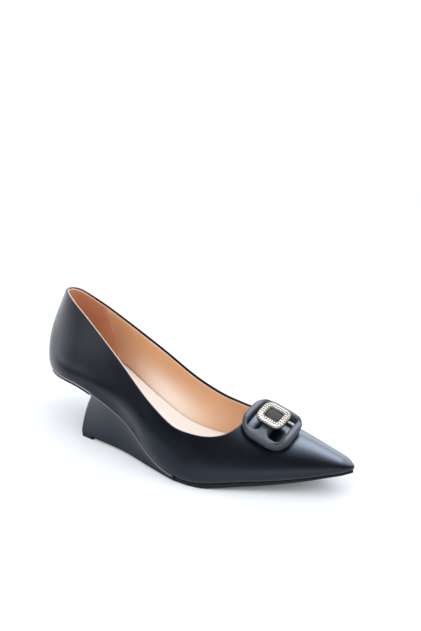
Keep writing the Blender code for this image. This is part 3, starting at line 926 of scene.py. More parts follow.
FINISHES = {
    "upper": Finish("black_leather", (0.0036, 0.0041, 0.0056), (0.0026, 0.0030, 0.0042), (0.22, 0.28),
                    grain=2100.0, marks=0.05, specular=0.25, coat_rough=0.25,
                    tint=(0.50, 0.68, 1.0), shine=True),
    # The lining's paler second colour is a painted pool of light low on the inner side of the arch.
    "lining": Finish("tan_lining", (0.68, 0.385, 0.205), (0.625, 0.34, 0.165), (0.36, 0.44),
                     grain=1500.0, cells=0.4, relief=0.10, marks=0.05, painted_light_colour=(0.90, 0.79, 0.69)),
    "edge": Finish("pale_lining_edge", (0.70, 0.55, 0.47), (0.65, 0.49, 0.41), (0.5, 0.6),
                   grain=2600.0, relief=0.1),
    "footbed": Finish("cream_sock", (0.77, 0.735, 0.70), (0.745, 0.70, 0.655), (0.44, 0.54),
                      grain=1500.0, cells=0.4, relief=0.08, marks=0.06, specular=0.4),
    # Dark bead round the sock's edge: painted shade for the shadowed gap between the sock and the lining.
    "sock_edge": Finish("sock_gap_painted_shade", (0.07, 0.035, 0.02), (0.05, 0.025, 0.014), (0.6, 0.7)),
    "grip": Finish("rust_suede", (0.62, 0.275, 0.137), (0.53, 0.217, 0.104), (0.86, 0.94),
                   grain=2600.0, cells=0.1, relief=0.35, depth=0.12, specular=0.15, sheen=0.3),
    "wedge": Finish("wedge_leather", (0.0062, 0.0068, 0.0086), (0.0046, 0.0052, 0.0068), (0.30, 0.38),
                    grain=2100.0, marks=0.08, specular=0.37, coat_rough=0.33,
                    tint=(0.58, 0.73, 1.0), shine=True),
    # Pale grey rand beads along the top of the wedge: their pale colour is a painted highlight along the joint.
    "rand": Finish("rand_painted_highlight", (0.17, 0.175, 0.19), (0.14, 0.145, 0.16), (0.3, 0.4), grain=2100.0, relief=0.05),
    # Pale bead round the heel's lower edge: a painted highlight.
    "highlight_bead": Finish("painted_highlight_bead", (0.36, 0.37, 0.39), (0.30, 0.31, 0.33), (0.3, 0.4), grain=2100.0, relief=0.05),
    "sole": Finish("sole_rubber", (0.0075, 0.0074, 0.008), (0.005, 0.005, 0.0055), (0.46, 0.58),
                   grain=900.0, cells=0.2, relief=0.2, marks=0.3, specular=0.22),
    "lift": Finish("lift_rubber", (0.008, 0.008, 0.008), (0.005, 0.005, 0.005), (0.55, 0.7),
                   grain=1100.0, cells=0.2, relief=0.2, marks=0.25, specular=0.35),
    "seat": Finish("seat_leather", (0.006, 0.006, 0.007), (0.004, 0.004, 0.005), (0.45, 0.55),
                   grain=2100.0, relief=0.14, specular=0.35),
    "frame": Finish("frame_rubber", (0.049, 0.056, 0.066), (0.040, 0.0462, 0.055), (0.52, 0.62),
                    grain=3200.0, cells=0.2, relief=0.08, specular=0.38, tint=(0.85, 0.93, 1.0)),
    "plaque": Finish("plaque_metal", (0.14, 0.13, 0.12), (0.10, 0.094, 0.086), (0.28, 0.4),
                     grain=2500.0, relief=0.1, metal=1.0),
    "stones": Finish("clear_stones", (0.30, 0.28, 0.25), (0.20, 0.19, 0.17), (0.10, 0.16),
                     grain=600.0, relief=0.0, metal=1.0),
    "thread": Finish("black_thread", (0.020, 0.021, 0.024), (0.014, 0.015, 0.017), (0.5, 0.6), relief=0.0),
    "inlay": Finish("dark_inlay", (0.005, 0.0055, 0.0065), (0.004, 0.0045, 0.0055), (0.5, 0.6),
                    grain=2500.0, relief=0.04, specular=0.12),
}


# Pieces of the shoe


@dataclass
class Crease:
    """Soft trough in the leather, placed in the shoe's own sizes."""

    side: Side
    station: float
    height: float
    lean: float
    depth: float
    width: float
    reach: float
    middle: float = 4.0
    fade: float = 2.0

    def dent(self, points: np.ndarray) -> np.ndarray:
        """Depth of the trough.

        Args:
            points: Points of the last.
        Returns:
            Depths at the points.
        """
        rise = points[..., 2] - self.height
        run = points[..., 0] - self.station - self.lean * rise
        side = 1.0 / (1.0 + np.exp(-self.side.value * (points[..., 1] - self.middle) / self.fade))
        return side * self.depth * np.exp(-(run / self.width) ** 2 - (rise / self.reach) ** 2)


@dataclass
class Upper:
    """Leather of the upper with its folded edge, the lining, the heel grip and the heel tab."""

    leather: float = 1.0
    lining_gap: float = 0.05
    lining_drop: tuple[float, float] = (0.1, 2.3)
    edge_drop: tuple[float, float] = (-0.14, 2.0)
    edge_radius: float = 0.34
    edge_sink: float = 0.42
    sink_stations: tuple[float, float] = (55.0, 95.0)
    sink_width: float = 8.0
    seam: float = 95.0
    seam_depth: float = 0.32
    seam_width: float = 0.55
    turn_in: tuple[float, float] = (0.75, 1.9)
    heel_turn: tuple[float, float] = (0.5, 2.4)
    turn_stations: tuple[float, float] = (60.0, 85.0)
    middle_end: float = 240.0
    swell: float = 1.25
    swell_widths: tuple[float, float] = (7.0, 11.0)
    swell_height: tuple[tuple[float, float], ...] = (
        (4.0, 3.5), (30.0, 8.5), (60.0, 11.0), (85.0, 13.0), (100.0, 15.5), (115.0, 18.0), (140.0, 21.0))
    swell_share: tuple[tuple[float, float], ...] = ((4.0, 0.7), (45.0, 1.0), (122.0, 1.0), (160.0, 0.0))
    polish: tuple[tuple[float, float], ...] = (
        (20.0, 0.38), (60.0, 0.5), (80.0, 0.34), (100.0, 0.08), (114.0, 0.0), (138.0, 0.0),
        (160.0, 0.18), (180.0, 0.38))
    # Height and station of the painted pool of light on the lining.
    light_pool_height: tuple[float, float] = (7.0, 13.0)
    light_pool_station: tuple[float, float] = (106.0, 30.0)
    pad: float = 1.4
    pad_stations: tuple[float, float] = (24.0, 46.0)
    pad_depth: float = 16.0
    stitch_gap: float = 1.5
    stitch_pitch: float = 2.3
    stitch_size: tuple[float, float] = (0.16, 0.85)
    stitch_foot: float = 0.04
    stitch_proud: float = 0.02
    stitch_ends: tuple[float, float] = (1.0, 3.0)
    stitch_samples: int = 400
    low_share: float = 0.03
    low_rows: int = 6
    rows: int = 44
    inner_rows: int = 14
    rim_steps: int = 5
    grip_reach: float = 1.46
    grip_bow: float = 0.07
    grip_gap: float = 0.12
    grip_foot: float = 0.06
    grip_count: int = 40
    grip_drop: float = 1.35
    grip_tilt: float = 0.5
    grip_thick: float = 0.45
    grip_round: float = 0.15
    tab_angle: float = 0.62
    tab_drop: float = 10.0
    tab_thick: float = 0.75
    tab_round: float = 0.22
    tab_gap: float = 0.5
    tab_proud: float = 0.04
    tab_shares: tuple[float, float] = (0.02, 0.97)
    tab_columns: int = 28
    tab_rows: int = 14
    counts: Counts = field(default_factory=Counts)
    creases: tuple[Crease, ...] = (
        Crease(Side.OUTER, 176.0, 31.0, -0.5, 0.45, 5.0, 9.0),
        Crease(Side.OUTER, 163.0, 24.0, -0.3, 0.3, 6.0, 9.0),
        Crease(Side.INNER, 176.0, 33.0, -0.5, 0.4, 5.0, 9.0),
        Crease(Side.INNER, 160.0, 24.0, -0.3, 0.3, 6.0, 9.0))

    def shell(self, outer: float, inner: float, drops: tuple[float, float], relief: bool) -> bmesh.types.BMesh:
        """Closed wall between two depths, rounded over at its top edge.

        Args:
            outer: Depth of its outer face.
            inner: Depth of its inner face.
            drops: Distance of the edge below the top line, on the outer and on the inner side.
            relief: Whether the seam and the creases are pressed into the outer face.
        Returns:
            Mesh of the wall.
        """
        foot = np.linspace(0.0, self.low_share, self.low_rows + 1)[:-1]
        up = np.concatenate([foot, np.linspace(self.low_share, 1.0, self.rows - self.low_rows + 1)])
        down = np.linspace(1.0, 0.0, self.inner_rows + 1)
        face, is_open = LAST.around(self.counts, outer, drops, up, self.seam)
        back, _ = LAST.around(self.counts, inner, drops, down, self.seam)
        back = self.padded(back)
        face = self.press(face) if relief else self.padded(face)
        rim = self.rim(face[:, -1], back[:, 0], is_open, 0.5 * (inner - outer))
        points = np.concatenate([face, rim, back, face[:, :1]], axis=1)
        columns, rows = points.shape[:2]
        skip = np.zeros((columns - 1, rows - 1), bool)
        shut = ~(is_open[:-1] & is_open[1:])
        skip[shut, self.rows:self.rows + self.rim_steps + 1] = True
        return mapped_grid(points, skip)

    def rim(self, face: np.ndarray, back: np.ndarray, is_open: np.ndarray, radius: float) -> np.ndarray:
        """Rounded rows that lead over the top edge from the outer to the inner face.

        Args:
            face: Top points of the outer face.
            back: Top points of the inner face.
            is_open: For each column, whether its top is an open edge.
            radius: Height of the rounding.
        Returns:
            Points, columns by rows by three.
        """
        loop = np.flatnonzero(is_open)
        lift = np.zeros_like(face)
        lift[loop] = self.edge_normals(face[loop], back[loop])
        rows = []
        for w in np.linspace(0.0, 1.0, self.rim_steps + 2)[1:-1]:
            share = 0.5 * (1.0 - math.cos(math.pi * w))
            rows.append(face * (1.0 - share) + back * share + lift * radius * math.sin(math.pi * w))
        return np.stack(rows, axis=1)

    def edge_normals(self, face: np.ndarray, back: np.ndarray) -> np.ndarray:
        """Directions in which the top edge looks.

        Args:
            face: Points of the edge on the outer face, closed.
            back: Points of the edge on the inner face, closed.
        Returns:
            Unit directions at the points.
        """
        middle = 0.5 * (face + back)[:-1]
        along = np.roll(middle, -1, axis=0) - np.roll(middle, 1, axis=0)
        out = unit(np.cross(along, (back - face)[:-1]))
        if out[:, 2].mean() < 0.0:
            out = -out
        return np.concatenate([out, out[:1]])

    def lining_edge(self) -> bmesh.types.BMesh:
        """Bead of the turned lining along the top edge, a little prouder on the outer side.

        Returns:
            Mesh of the bead.
        """
        ends = np.array([0.0, 1.0])
        face, is_open = LAST.around(self.counts, self.leather, self.edge_drop, ends, self.seam)
        back, _ = LAST.around(self.counts, LAST.wall_thick, self.edge_drop, ends, self.seam)
        path = 0.5 * (face + back)[is_open, 1]
        heel = np.interp(path[:, 0], self.sink_stations, (1.0, 0.0))
        outer = np.clip((LAST.get("axis", path[:, 0]) - path[:, 1]) / self.sink_width, 0.0, 1.0)
        path[:, 2] -= self.edge_sink * heel * outer
        return tube(self.padded(path), self.edge_radius)

    def padded(self, points: np.ndarray) -> np.ndarray:
        """Points of an inner face, drawn inwards where the collar is padded round the heel.

        Args:
            points: Points with a last axis of three.
        Returns:
            Moved points.
        """
        x, z = points[..., 0], points[..., 2]
        near = np.interp(x, self.pad_stations, (1.0, 0.0))
        high = np.clip(1.0 - (LAST.top(x) - z) / self.pad_depth, 0.0, 1.0)
        share = smooth_step(near) * smooth_step(high)
        centre = np.array((LAST.heel_centre, float(LAST.get("axis", LAST.heel_centre)), 0.0))
        way = unit(centre - points * (1.0, 1.0, 0.0))
        return points + self.pad * share[..., None] * way

    def press(self, face: np.ndarray) -> np.ndarray:
        """Outer face with its lower swell, and with the inner side seam and the creases pressed in.

        Args:
            face: Points of the plain face, columns by rows by three.
        Returns:
            Moved points.
        """
        x = face[..., 0]
        foot = x[:, :1]
        normals = grid_normals(face)
        inside = np.clip(x, LAST.heel_centre, self.middle_end)
        middle = np.stack([inside, LAST.get("axis", inside), face[..., 2]], -1)
        outward = np.sign(np.sum(normals * (face - middle), -1, keepdims=True))
        beside = (x - self.seam) / self.seam_width
        inner = face[..., 1] > LAST.get("axis", x)
        depth = np.where(inner, self.seam_depth * np.exp(-beside * beside), 0.0)
        for crease in self.creases:
            depth = depth + crease.dent(face)
        run = run_along(face)
        heel = np.interp(foot, self.turn_stations, (1.0, 0.0))
        deep, reach = (a + (b - a) * heel for a, b in zip(self.turn_in, self.heel_turn))
        rest = np.clip(1.0 - run / reach, 0.0, 1.0)
        depth = depth + deep * (1.0 - np.sqrt(1.0 - rest * rest))
        rise = run - table_value(self.swell_height, foot)
        width = np.where(rise < 0.0, *self.swell_widths)
        depth = depth - self.swell * table_value(self.swell_share, foot) * np.exp(-(rise / width) ** 2)
        return face - normals * outward * depth[..., None]

    def stitches(self) -> bmesh.types.BMesh:
        """Small stitches down the inner side, beside its seam.

        Returns:
            One mesh of them all.
        """
        end, drop = self.stitch_ends
        x = np.full(self.stitch_samples, self.seam + self.stitch_gap)
        top = float(LAST.side_top(x[:1], Side.INNER, 0.0, drop)[0])
        rows = np.linspace(self.stitch_foot, top, self.stitch_samples)
        line = LAST.wall(x, rows, Side.INNER, -self.stitch_proud)
        run = run_along(line)
        thin, half = self.stitch_size
        bm = bmesh.new()
        for k in np.searchsorted(run, np.arange(0.5 * self.stitch_pitch, run[-1] - end, self.stitch_pitch)):
            along = Vector(line[k + 2] - line[k - 2])
            turn = Vector((0.0, 0.0, 1.0)).rotation_difference(along).to_matrix().to_4x4()
            size = Matrix.Diagonal((thin * MM, thin * MM, half * MM, 1.0))
            place = Matrix.Translation(Vector(to_frame(line[k]))) @ turn @ size
            bmesh.ops.create_uvsphere(bm, u_segments=8, v_segments=6, radius=1.0, matrix=place)
        return bm

    def grip(self) -> bmesh.types.BMesh:
        """Suede patch round the inside of the heel, with a bowed front edge.

        Returns:
            Mesh of its face.
        """
        inset = LAST.wall_thick + self.grip_gap
        shares = np.linspace(self.grip_foot, 1.0, self.grip_count)
        bow = self.grip_reach + self.grip_bow * np.sin(math.pi * shares)
        to_back = np.linspace(1.0, 0.0, self.grip_count)
        from_back = np.linspace(0.0, 1.0, self.grip_count)[1:]
        lines = []
        for side, turns in ((Side.OUTER, to_back), (Side.INNER, from_back)):
            for turn in turns:
                phi = np.minimum(turn * bow, RIGHT_ANGLE)
                drop = self.grip_drop + self.grip_tilt * side.value * np.sin(phi)
                top = LAST.heel_top(phi, side, inset, drop)
                lines.append(LAST.heel(phi, top * shares, side, inset))
        return mapped_grid(self.padded(np.array(lines)))

    def tab(self) -> bmesh.types.BMesh:
        """Leather tab at the back of the collar, on the inner side.

        Returns:
            Mesh of its inner face.
        """
        lines = []
        for share in np.linspace(*self.tab_shares, self.tab_columns):
            phi = np.full(self.tab_rows, share * self.tab_angle)
            top = LAST.heel_top(phi[:1], Side.INNER, 0.0, self.tab_gap)
            height = LAST.heel(phi[:1], top, Side.INNER)[0, 2]
            goal = height - np.linspace(self.tab_drop * math.sqrt(1.0 - share * share), 0.0, self.tab_rows)
            low = np.full(self.tab_rows, LAST.side_start)
            t = solve(lambda t: LAST.heel(phi, t, Side.INNER)[:, 2] - goal, low, np.ones_like(low))
            lines.append(LAST.heel(phi, t, Side.INNER, -self.tab_proud))
        return mapped_grid(np.array(lines))

    def shine(self, points: np.ndarray) -> np.ndarray:
        """Polish of the leather, least at the waist.

        Args:
            points: Points of the last.
        Returns:
            Coat weights.
        """
        return table_value(self.polish, points[:, 0])

    def pale(self, points: np.ndarray) -> np.ndarray:
        """Painted pool of light: a paler stretch of the lining low on the inner side of the arch, where strong light
        falls on it.

        Args:
            points: Points of the last.
        Returns:
            Shares of the paler colour.
        """
        x, y, z = points.T
        start, fall = self.light_pool_height
        centre, reach = self.light_pool_station
        height = np.maximum(z - LAST.get("floor", x), 0.0)
        mask = np.exp(-(np.maximum(height - start, 0.0) / fall) ** 2 - ((x - centre) / reach) ** 2)
        return np.where(y > LAST.get("axis", x), mask, 0.0)

    def build(self, looks: dict[str, bpy.types.Material]) -> None:
        """Make the pieces and dress them.

        Args:
            looks: Materials by the name of their finish.
        """
        outside = make_piece("upper_leather", self.shell(0.0, self.leather, (0.0, 0.0), True), looks["upper"],
                             ("upper",))
        add_mask(outside, "shine", self.shine)
        lining = self.shell(self.leather + self.lining_gap, LAST.wall_thick + self.lining_gap,
                            self.lining_drop, False)
        # The pale mask paints a pool of light low on the lining's inner arch.
        add_mask(make_piece("lining", lining, looks["lining"]), "pale", self.pale)
        make_piece("lining_edge", self.lining_edge(), looks["edge"])
        make_piece("seam_stitches", self.stitches(), looks["thread"])
        grip = make_piece("heel_grip", self.grip(), looks["grip"])
        add_wall(grip, self.grip_thick, 0.0)
        add_bevel(grip, self.grip_round, 2)
        tab = make_piece("heel_tab_leather", self.tab(), looks["upper"], ("heel_tab",))
        add_mask(tab, "shine", self.shine)
        add_wall(tab, self.tab_thick, 1.0)
        add_bevel(tab, self.tab_round, 3)


@dataclass
class Footbed:
    """Sock leather over the footbed."""

    thick: float = 2.4
    end: float = 238.0
    along: int = 120
    across: int = 26
    clear: float = 0.15
    crown: float = 0.5
    sink: float = 0.35
    roll: float = 0.9
    roll_share: float = 0.6
    sheet: float = 1.4
    edge_sink: float = 0.12
    edge_radius: tuple[tuple[float, float], ...] = ((125.0, 0.34), (155.0, 0.18))
    edge_sides: int = 6

    def build(self, looks: dict[str, bpy.types.Material]) -> None:
        """Make the footbed with a soft crown and a rolled edge, and a dark bead round it that paints the shade in the
        gap beside the lining.

        Args:
            looks: Materials by the name of their finish.
        """
        inset = LAST.wall_thick + LAST.gap + self.clear
        rows = LAST.plan(0.0, self.end, inset, self.along, LAST.toe_end(inset))
        w = 0.5 - 0.5 * np.cos(np.linspace(0.0, math.pi, self.across + 1))
        lines = []
        for x, out, inn in rows:
            y = out + (inn - out) * w
            edge = np.minimum(y - out, inn - y)
            fall = np.clip(1.0 - edge / self.roll, 0.0, 1.0)
            z = LAST.get("floor", x) + self.thick + self.crown * 4.0 * w * (1.0 - w) - self.sink
            z = z - self.roll * self.roll_share * (1.0 - np.sqrt(np.maximum(0.0, 1.0 - fall * fall)))
            lines.append(np.stack([np.full_like(y, x), y, z], -1))
        bm = mapped_grid(np.array(lines))
        sock = make_piece("footbed_sock", bm, looks["footbed"], ("insole",))
        add_wall(sock, self.sheet, -1.0)
        # A dark bead round the sock's edge paints the shade in the gap between the sock and the lining.
        outline = [line[-1] for line in lines] + [line[0] for line in lines[:0:-1]] + [lines[0][-1]]
        path = np.array(outline) - (0.0, 0.0, self.edge_sink)
        bead = tube(path, table_value(self.edge_radius, path[:, 0]), self.edge_sides)
        make_piece("footbed_gap_shade", bead, looks["sock_edge"])


@dataclass
class Bottom:
    """Outsole, heel plate and top lift."""

    thick: float = 3.2
    thin: float = 1.8
    inset: float = 0.8
    flat_start: float = 148.0
    flat_end: float = 177.0
    step: float = 157.0
    lift_back: float = 55.6
    lift_length: float = 13.0
    lift_height: float = 3.6
    corner: float = 2.6
    corner_rows: int = 9
    wedge_top: float = 69.0
    spring_reach: float = 12.0
    edge_steps: int = 5
    edge_limits: tuple[float, float] = (0.45, 0.3)
    sole_edge: float = 0.7
    sole_rows_along: tuple[int, int] = (40, 60)
    step_gaps: tuple[float, float] = (0.02, 0.5)
    toe_gap: float = 0.5
    lift_inset: float = 0.4
    lift_edge: float = 0.5
    lift_rows: int = 6
    lift_across: int = 12
    seat_thick: float = 2.2
    seat_inset: float = 0.2
    seat_edge: float = 0.5
    seat_rows: int = 24
    outline: tuple[Row, ...] = (
        (57.0, -29.8, 25.0), (76.0, -30.8, 24.0), (102.0, -32.4, 24.0), (130.0, -37.8, 27.0),
        (157.0, -42.6, 31.4))

    def __post_init__(self) -> None:
        """Make the curves of the wedge's lower outline."""
        table = np.array(self.outline)
        self.edges = {Side.OUTER: Spline(table[:, 0], table[:, 1]), Side.INNER: Spline(table[:, 0], table[:, 2])}

    def under(self, x: float) -> float:
        """Height of the underside of the outsole.

        Args:
            x: Station.
        Returns:
            Height over the floor.
        """
        if x < self.flat_start:
            run = self.flat_start - self.lift_back - self.lift_length
            return (self.lift_height - self.thin) * (self.flat_start - x) / run
        if x < self.flat_end:
            return 0.0
        start = float(LAST.seat(self.flat_end)) - self.thick
        spring = float(LAST.seat(x)) - self.thick
        return max(0.0, spring - start * math.exp(-(x - self.flat_end) / self.spring_reach))

    def over(self, x: float) -> float:
        """Height of the upper side of the outsole.

        Args:
            x: Station.
        Returns:
            Height over the floor.
        """
        if x < self.step:
            return self.under(x) + self.thin
        return float(LAST.seat(x)) - float(LAST.toe_drop(x))

    def slab(self, rows: list[Row], top: Callable[[float], float], bottom: Callable[[float], float],
             edge: float, across: int = 18) -> bmesh.types.BMesh:
        """Slab over outline rows with rounded edges.

        Args:
            rows: Outline rows (x, outer y, inner y).
            top: Height of its upper side by station.
            bottom: Height of its underside by station.
            edge: Radius of its edges.
            across: Points across.
        Returns:
            Closed mesh.
        """
        turn = np.linspace(0.0, RIGHT_ANGLE, self.edge_steps)
        of_height, of_width = self.edge_limits
        loops = []
        for x, out, inn in rows:
            high, low = float(top(x)), float(bottom(x))
            e = min(edge, of_height * (high - low), of_width * max(inn - out, 0.0))
            flat = np.linspace(out + e, inn - e, across)
            ys = np.concatenate([flat, inn - e + e * np.sin(turn[1:]), inn - e + e * np.cos(turn),
                                 flat[::-1][1:], out + e - e * np.sin(turn[1:]), out + e - e * np.cos(turn)])
            zs = np.concatenate([np.full(across, high), high - e + e * np.cos(turn[1:]), low + e - e * np.sin(turn),
                                 np.full(across - 1, low), low + e - e * np.cos(turn[1:]), high - e + e * np.sin(turn)])
            loops.append(np.stack([np.full_like(ys, x), ys, zs], -1))
        bm = mapped_grid(np.array(loops))
        fill_ends(bm)
        return bm

    def edge_row(self, x: float, inset: float) -> Row:
        """Row (x, outer y, inner y) of the wedge's lower outline, drawn in by a distance."""
        return (float(x), float(self.edges[Side.OUTER](x)) + inset, float(self.edges[Side.INNER](x)) - inset)

    def corner_runs(self, count: int) -> np.ndarray:
        """Distances from the back at which a round corner has its points."""
        return self.corner * (1.0 - np.cos(np.linspace(0.0, RIGHT_ANGLE, count)))

    def corner_pull(self, distance: float) -> float:
        """How far a round corner draws the outline in, by the distance from the back."""
        cut = 1.0 - min(distance / self.corner, 1.0)
        return self.corner * (1.0 - math.sqrt(max(0.0, 1.0 - cut * cut)))

    def rounded(self, start: float, stop: float, inset: float, count: int) -> list[Row]:
        """Rows along the wedge's lower outline, with round corners at the back.

        Args:
            start: First station.
            stop: Last station.
            inset: Distance inside the outline.
            count: Rows along the straight stretch.
        Returns:
            Rows (x, outer y, inner y).
        """
        straight = np.linspace(self.corner, stop - start, count)[1:]
        runs = np.concatenate([self.corner_runs(self.corner_rows), straight])
        return [self.edge_row(start + float(d), inset + self.corner_pull(d)) for d in runs]

    def sole_rows(self) -> list[Row]:
        """Outline rows of the outsole from the lift to the toe tip.

        Returns:
            Rows (x, outer y, inner y).
        """
        waist, fore = self.sole_rows_along
        behind, ahead = self.step_gaps
        start = self.lift_back + self.lift_length + LAST.gap
        rows = [self.edge_row(x, self.inset) for x in np.linspace(start, self.step - behind, waist)]
        return rows + LAST.plan(self.step + ahead, LAST.length, self.inset, fore, LAST.length - self.toe_gap)

    def build(self, looks: dict[str, bpy.types.Material]) -> None:
        """Make the pieces under the shoe and dress them.

        Args:
            looks: Materials by the name of their finish.
        """
        sole = self.slab(self.sole_rows(), self.over, self.under, self.sole_edge)
        make_piece("outsole_rubber", sole, looks["sole"], ("outsole",))
        rows = self.rounded(self.lift_back, self.lift_back + self.lift_length, self.lift_inset, self.lift_rows)
        lift = self.slab(rows, lambda x: self.lift_height, lambda x: 0.0, self.lift_edge, self.lift_across)
        make_piece("top_lift_rubber", lift, looks["lift"], ("top_lift",))
        rows = LAST.plan(0.0, self.wedge_top - LAST.gap, self.seat_inset, self.seat_rows, LAST.length)
        seat = self.slab(rows, LAST.seat, lambda x: LAST.seat(x) - self.seat_thick, self.seat_edge)
        make_piece("heel_seat_plate", seat, looks["seat"], ("heel_seat",))


@dataclass
class Wedge:
    """Leather-covered wedge, cut away behind."""

    bottom: Bottom
    back_top: float = 69.0
    back_power: float = 1.6
    ledge: float = 0.09
    bow: float = 1.5
    levels: int = 26
    along: int = 60
    corner_steps: int = 10
    ledge_steps: int = 4
    back_steps: int = 14
    front_steps: int = 10
    edge_round: float = 0.5
    edge_angle: float = 50.0
    shine_floor: float = 4.0
    shine_fall: float = 1.05
    shine_run: float = 60.0
    shine_ahead: float = 0.75
    # Place and size of the pale bead that paints the highlight on the heel's lower edge.
    bead_overlap: float = 1.6
    bead_counts: tuple[int, int] = (20, 40)
    bead_inset: float = 0.3
    bead_drop: float = 0.05
    bead_radius: float = 0.32
    rand_ends: tuple[float, float] = (1.0, 1.5)
    rand_count: int = 70
    rand_out: float = 0.08
    rand_drop: float = 0.2
    rand_radius: float = 0.36

    def low(self, x: float) -> float:
        """Height of the underside of the wedge at a station."""
        front = self.bottom.lift_back + self.bottom.lift_length
        return self.bottom.under(max(x, front)) + self.bottom.thin + LAST.gap

    def place(self, side: Side, distance: float, v: float) -> Row:
        """Point of one side of the wedge.

        Args:
            side: Side of the foot.
            distance: Distance from the back along the lower outline.
            v: Share of the way down.
        Returns:
            The point in millimetres.
        """
        front = self.bottom.step - LAST.gap
        u = distance / (front - self.bottom.lift_back)
        lean = max(0.0, (v - self.ledge) / (1.0 - self.ledge))
        back = self.bottom.lift_back + (self.back_top - self.bottom.lift_back) * (1.0 - lean) ** self.back_power
        x = back + u * (front - back)
        high = float(LAST.seat(x))
        z = high + (self.low(x) - high) * v
        up = float(LAST.get("axis", x)) + side.value * float(LAST.get("foot", x, side))
        y = up + (float(self.bottom.edges[side](x)) - up) * v
        bow = self.bow * 4.0 * v * (1.0 - v) * (1.0 - u)
        return (x, y - side.value * (self.bottom.corner_pull(distance) + bow), z)

    def shine(self, points: np.ndarray) -> np.ndarray:
        """Polish of the wedge, fading downwards and forwards.

        Args:
            points: Points of the last.
        Returns:
            Coat weights.
        """
        x, _, z = points.T
        high = LAST.seat(x)
        down = np.clip((high - z) / np.maximum(high - self.shine_floor, self.shine_floor), 0.0, 1.0)
        ahead = np.clip((x - self.back_top) / self.shine_run, 0.0, 1.0)
        return np.clip(1.0 - self.shine_fall * down, 0.0, 1.0) * (1.0 - self.shine_ahead * ahead)

    def highlight_bead(self) -> np.ndarray:
        """Path of the thin pale line between the leather and the heel plate, a painted highlight on the heel's lower
        edge.

        Returns:
            Points in millimetres, from the wedge round the heel and back to it.
        """
        along, around = self.bead_counts
        x = np.linspace(self.back_top + self.bead_overlap, LAST.heel_centre, along)[:-1]
        phi = np.linspace(RIGHT_ANGLE, 0.0, around)
        halves = []
        for side in Side:
            straight = LAST.wall(x, np.zeros_like(x), side, self.bead_inset)
            bend = LAST.heel(phi, np.zeros_like(phi), side, self.bead_inset)
            halves.append(np.concatenate([straight, bend]))
        return np.concatenate([halves[0], halves[1][-2::-1]]) - np.array((0.0, 0.0, self.bead_drop))

    def build(self, looks: dict[str, bpy.types.Material]) -> None:
        """Make the wedge as rings round its outline, and close it above and below.

        Args:
            looks: Materials by the name of their finish.
        """
        full = self.bottom.step - LAST.gap - self.bottom.lift_back
        straight = np.linspace(self.bottom.corner, full, self.along)[1:]
        runs = np.concatenate([self.bottom.corner_runs(self.corner_steps), straight])
        rings = []
        ledge = np.linspace(0.0, self.ledge, self.ledge_steps)[:-1]
        for v in np.concatenate([ledge, np.linspace(self.ledge, 1.0, self.levels)]):
            outer = [self.place(Side.OUTER, d, v) for d in runs[::-1]]
            inner = [self.place(Side.INNER, d, v) for d in runs]
            across = np.linspace(outer[-1], inner[0], self.back_steps)[1:-1].tolist()
            ahead = np.linspace(inner[-1], outer[0], self.front_steps)[1:].tolist()
            rings.append(np.array(outer + across + inner + ahead))
        bm = mapped_grid(np.array(rings))
        fill_ends(bm)
        block = make_piece("wedge_cover", bm, looks["wedge"], ("wedge_heel",))
        add_mask(block, "shine", self.shine)
        add_bevel(block, self.edge_round, 3, self.edge_angle)
        # The pale bead round the heel's lower edge is a painted highlight.
        make_piece("heel_painted_highlight", tube(self.highlight_bead(), self.bead_radius), looks["highlight_bead"])
        # The rand beads' pale colour paints the highlight along the joint of the upper and the wedge.
        start, end = self.rand_ends
        x = np.linspace(self.back_top + start, self.bottom.step - end, self.rand_count)
        for side in Side:
            place = np.array((0.0, self.rand_out * side.value, -self.rand_drop))
            rand = tube(LAST.wall(x, np.zeros_like(x), side) + place, self.rand_radius)
            make_piece(f"wedge_rand_{side.name.lower()}", rand, looks["rand"])


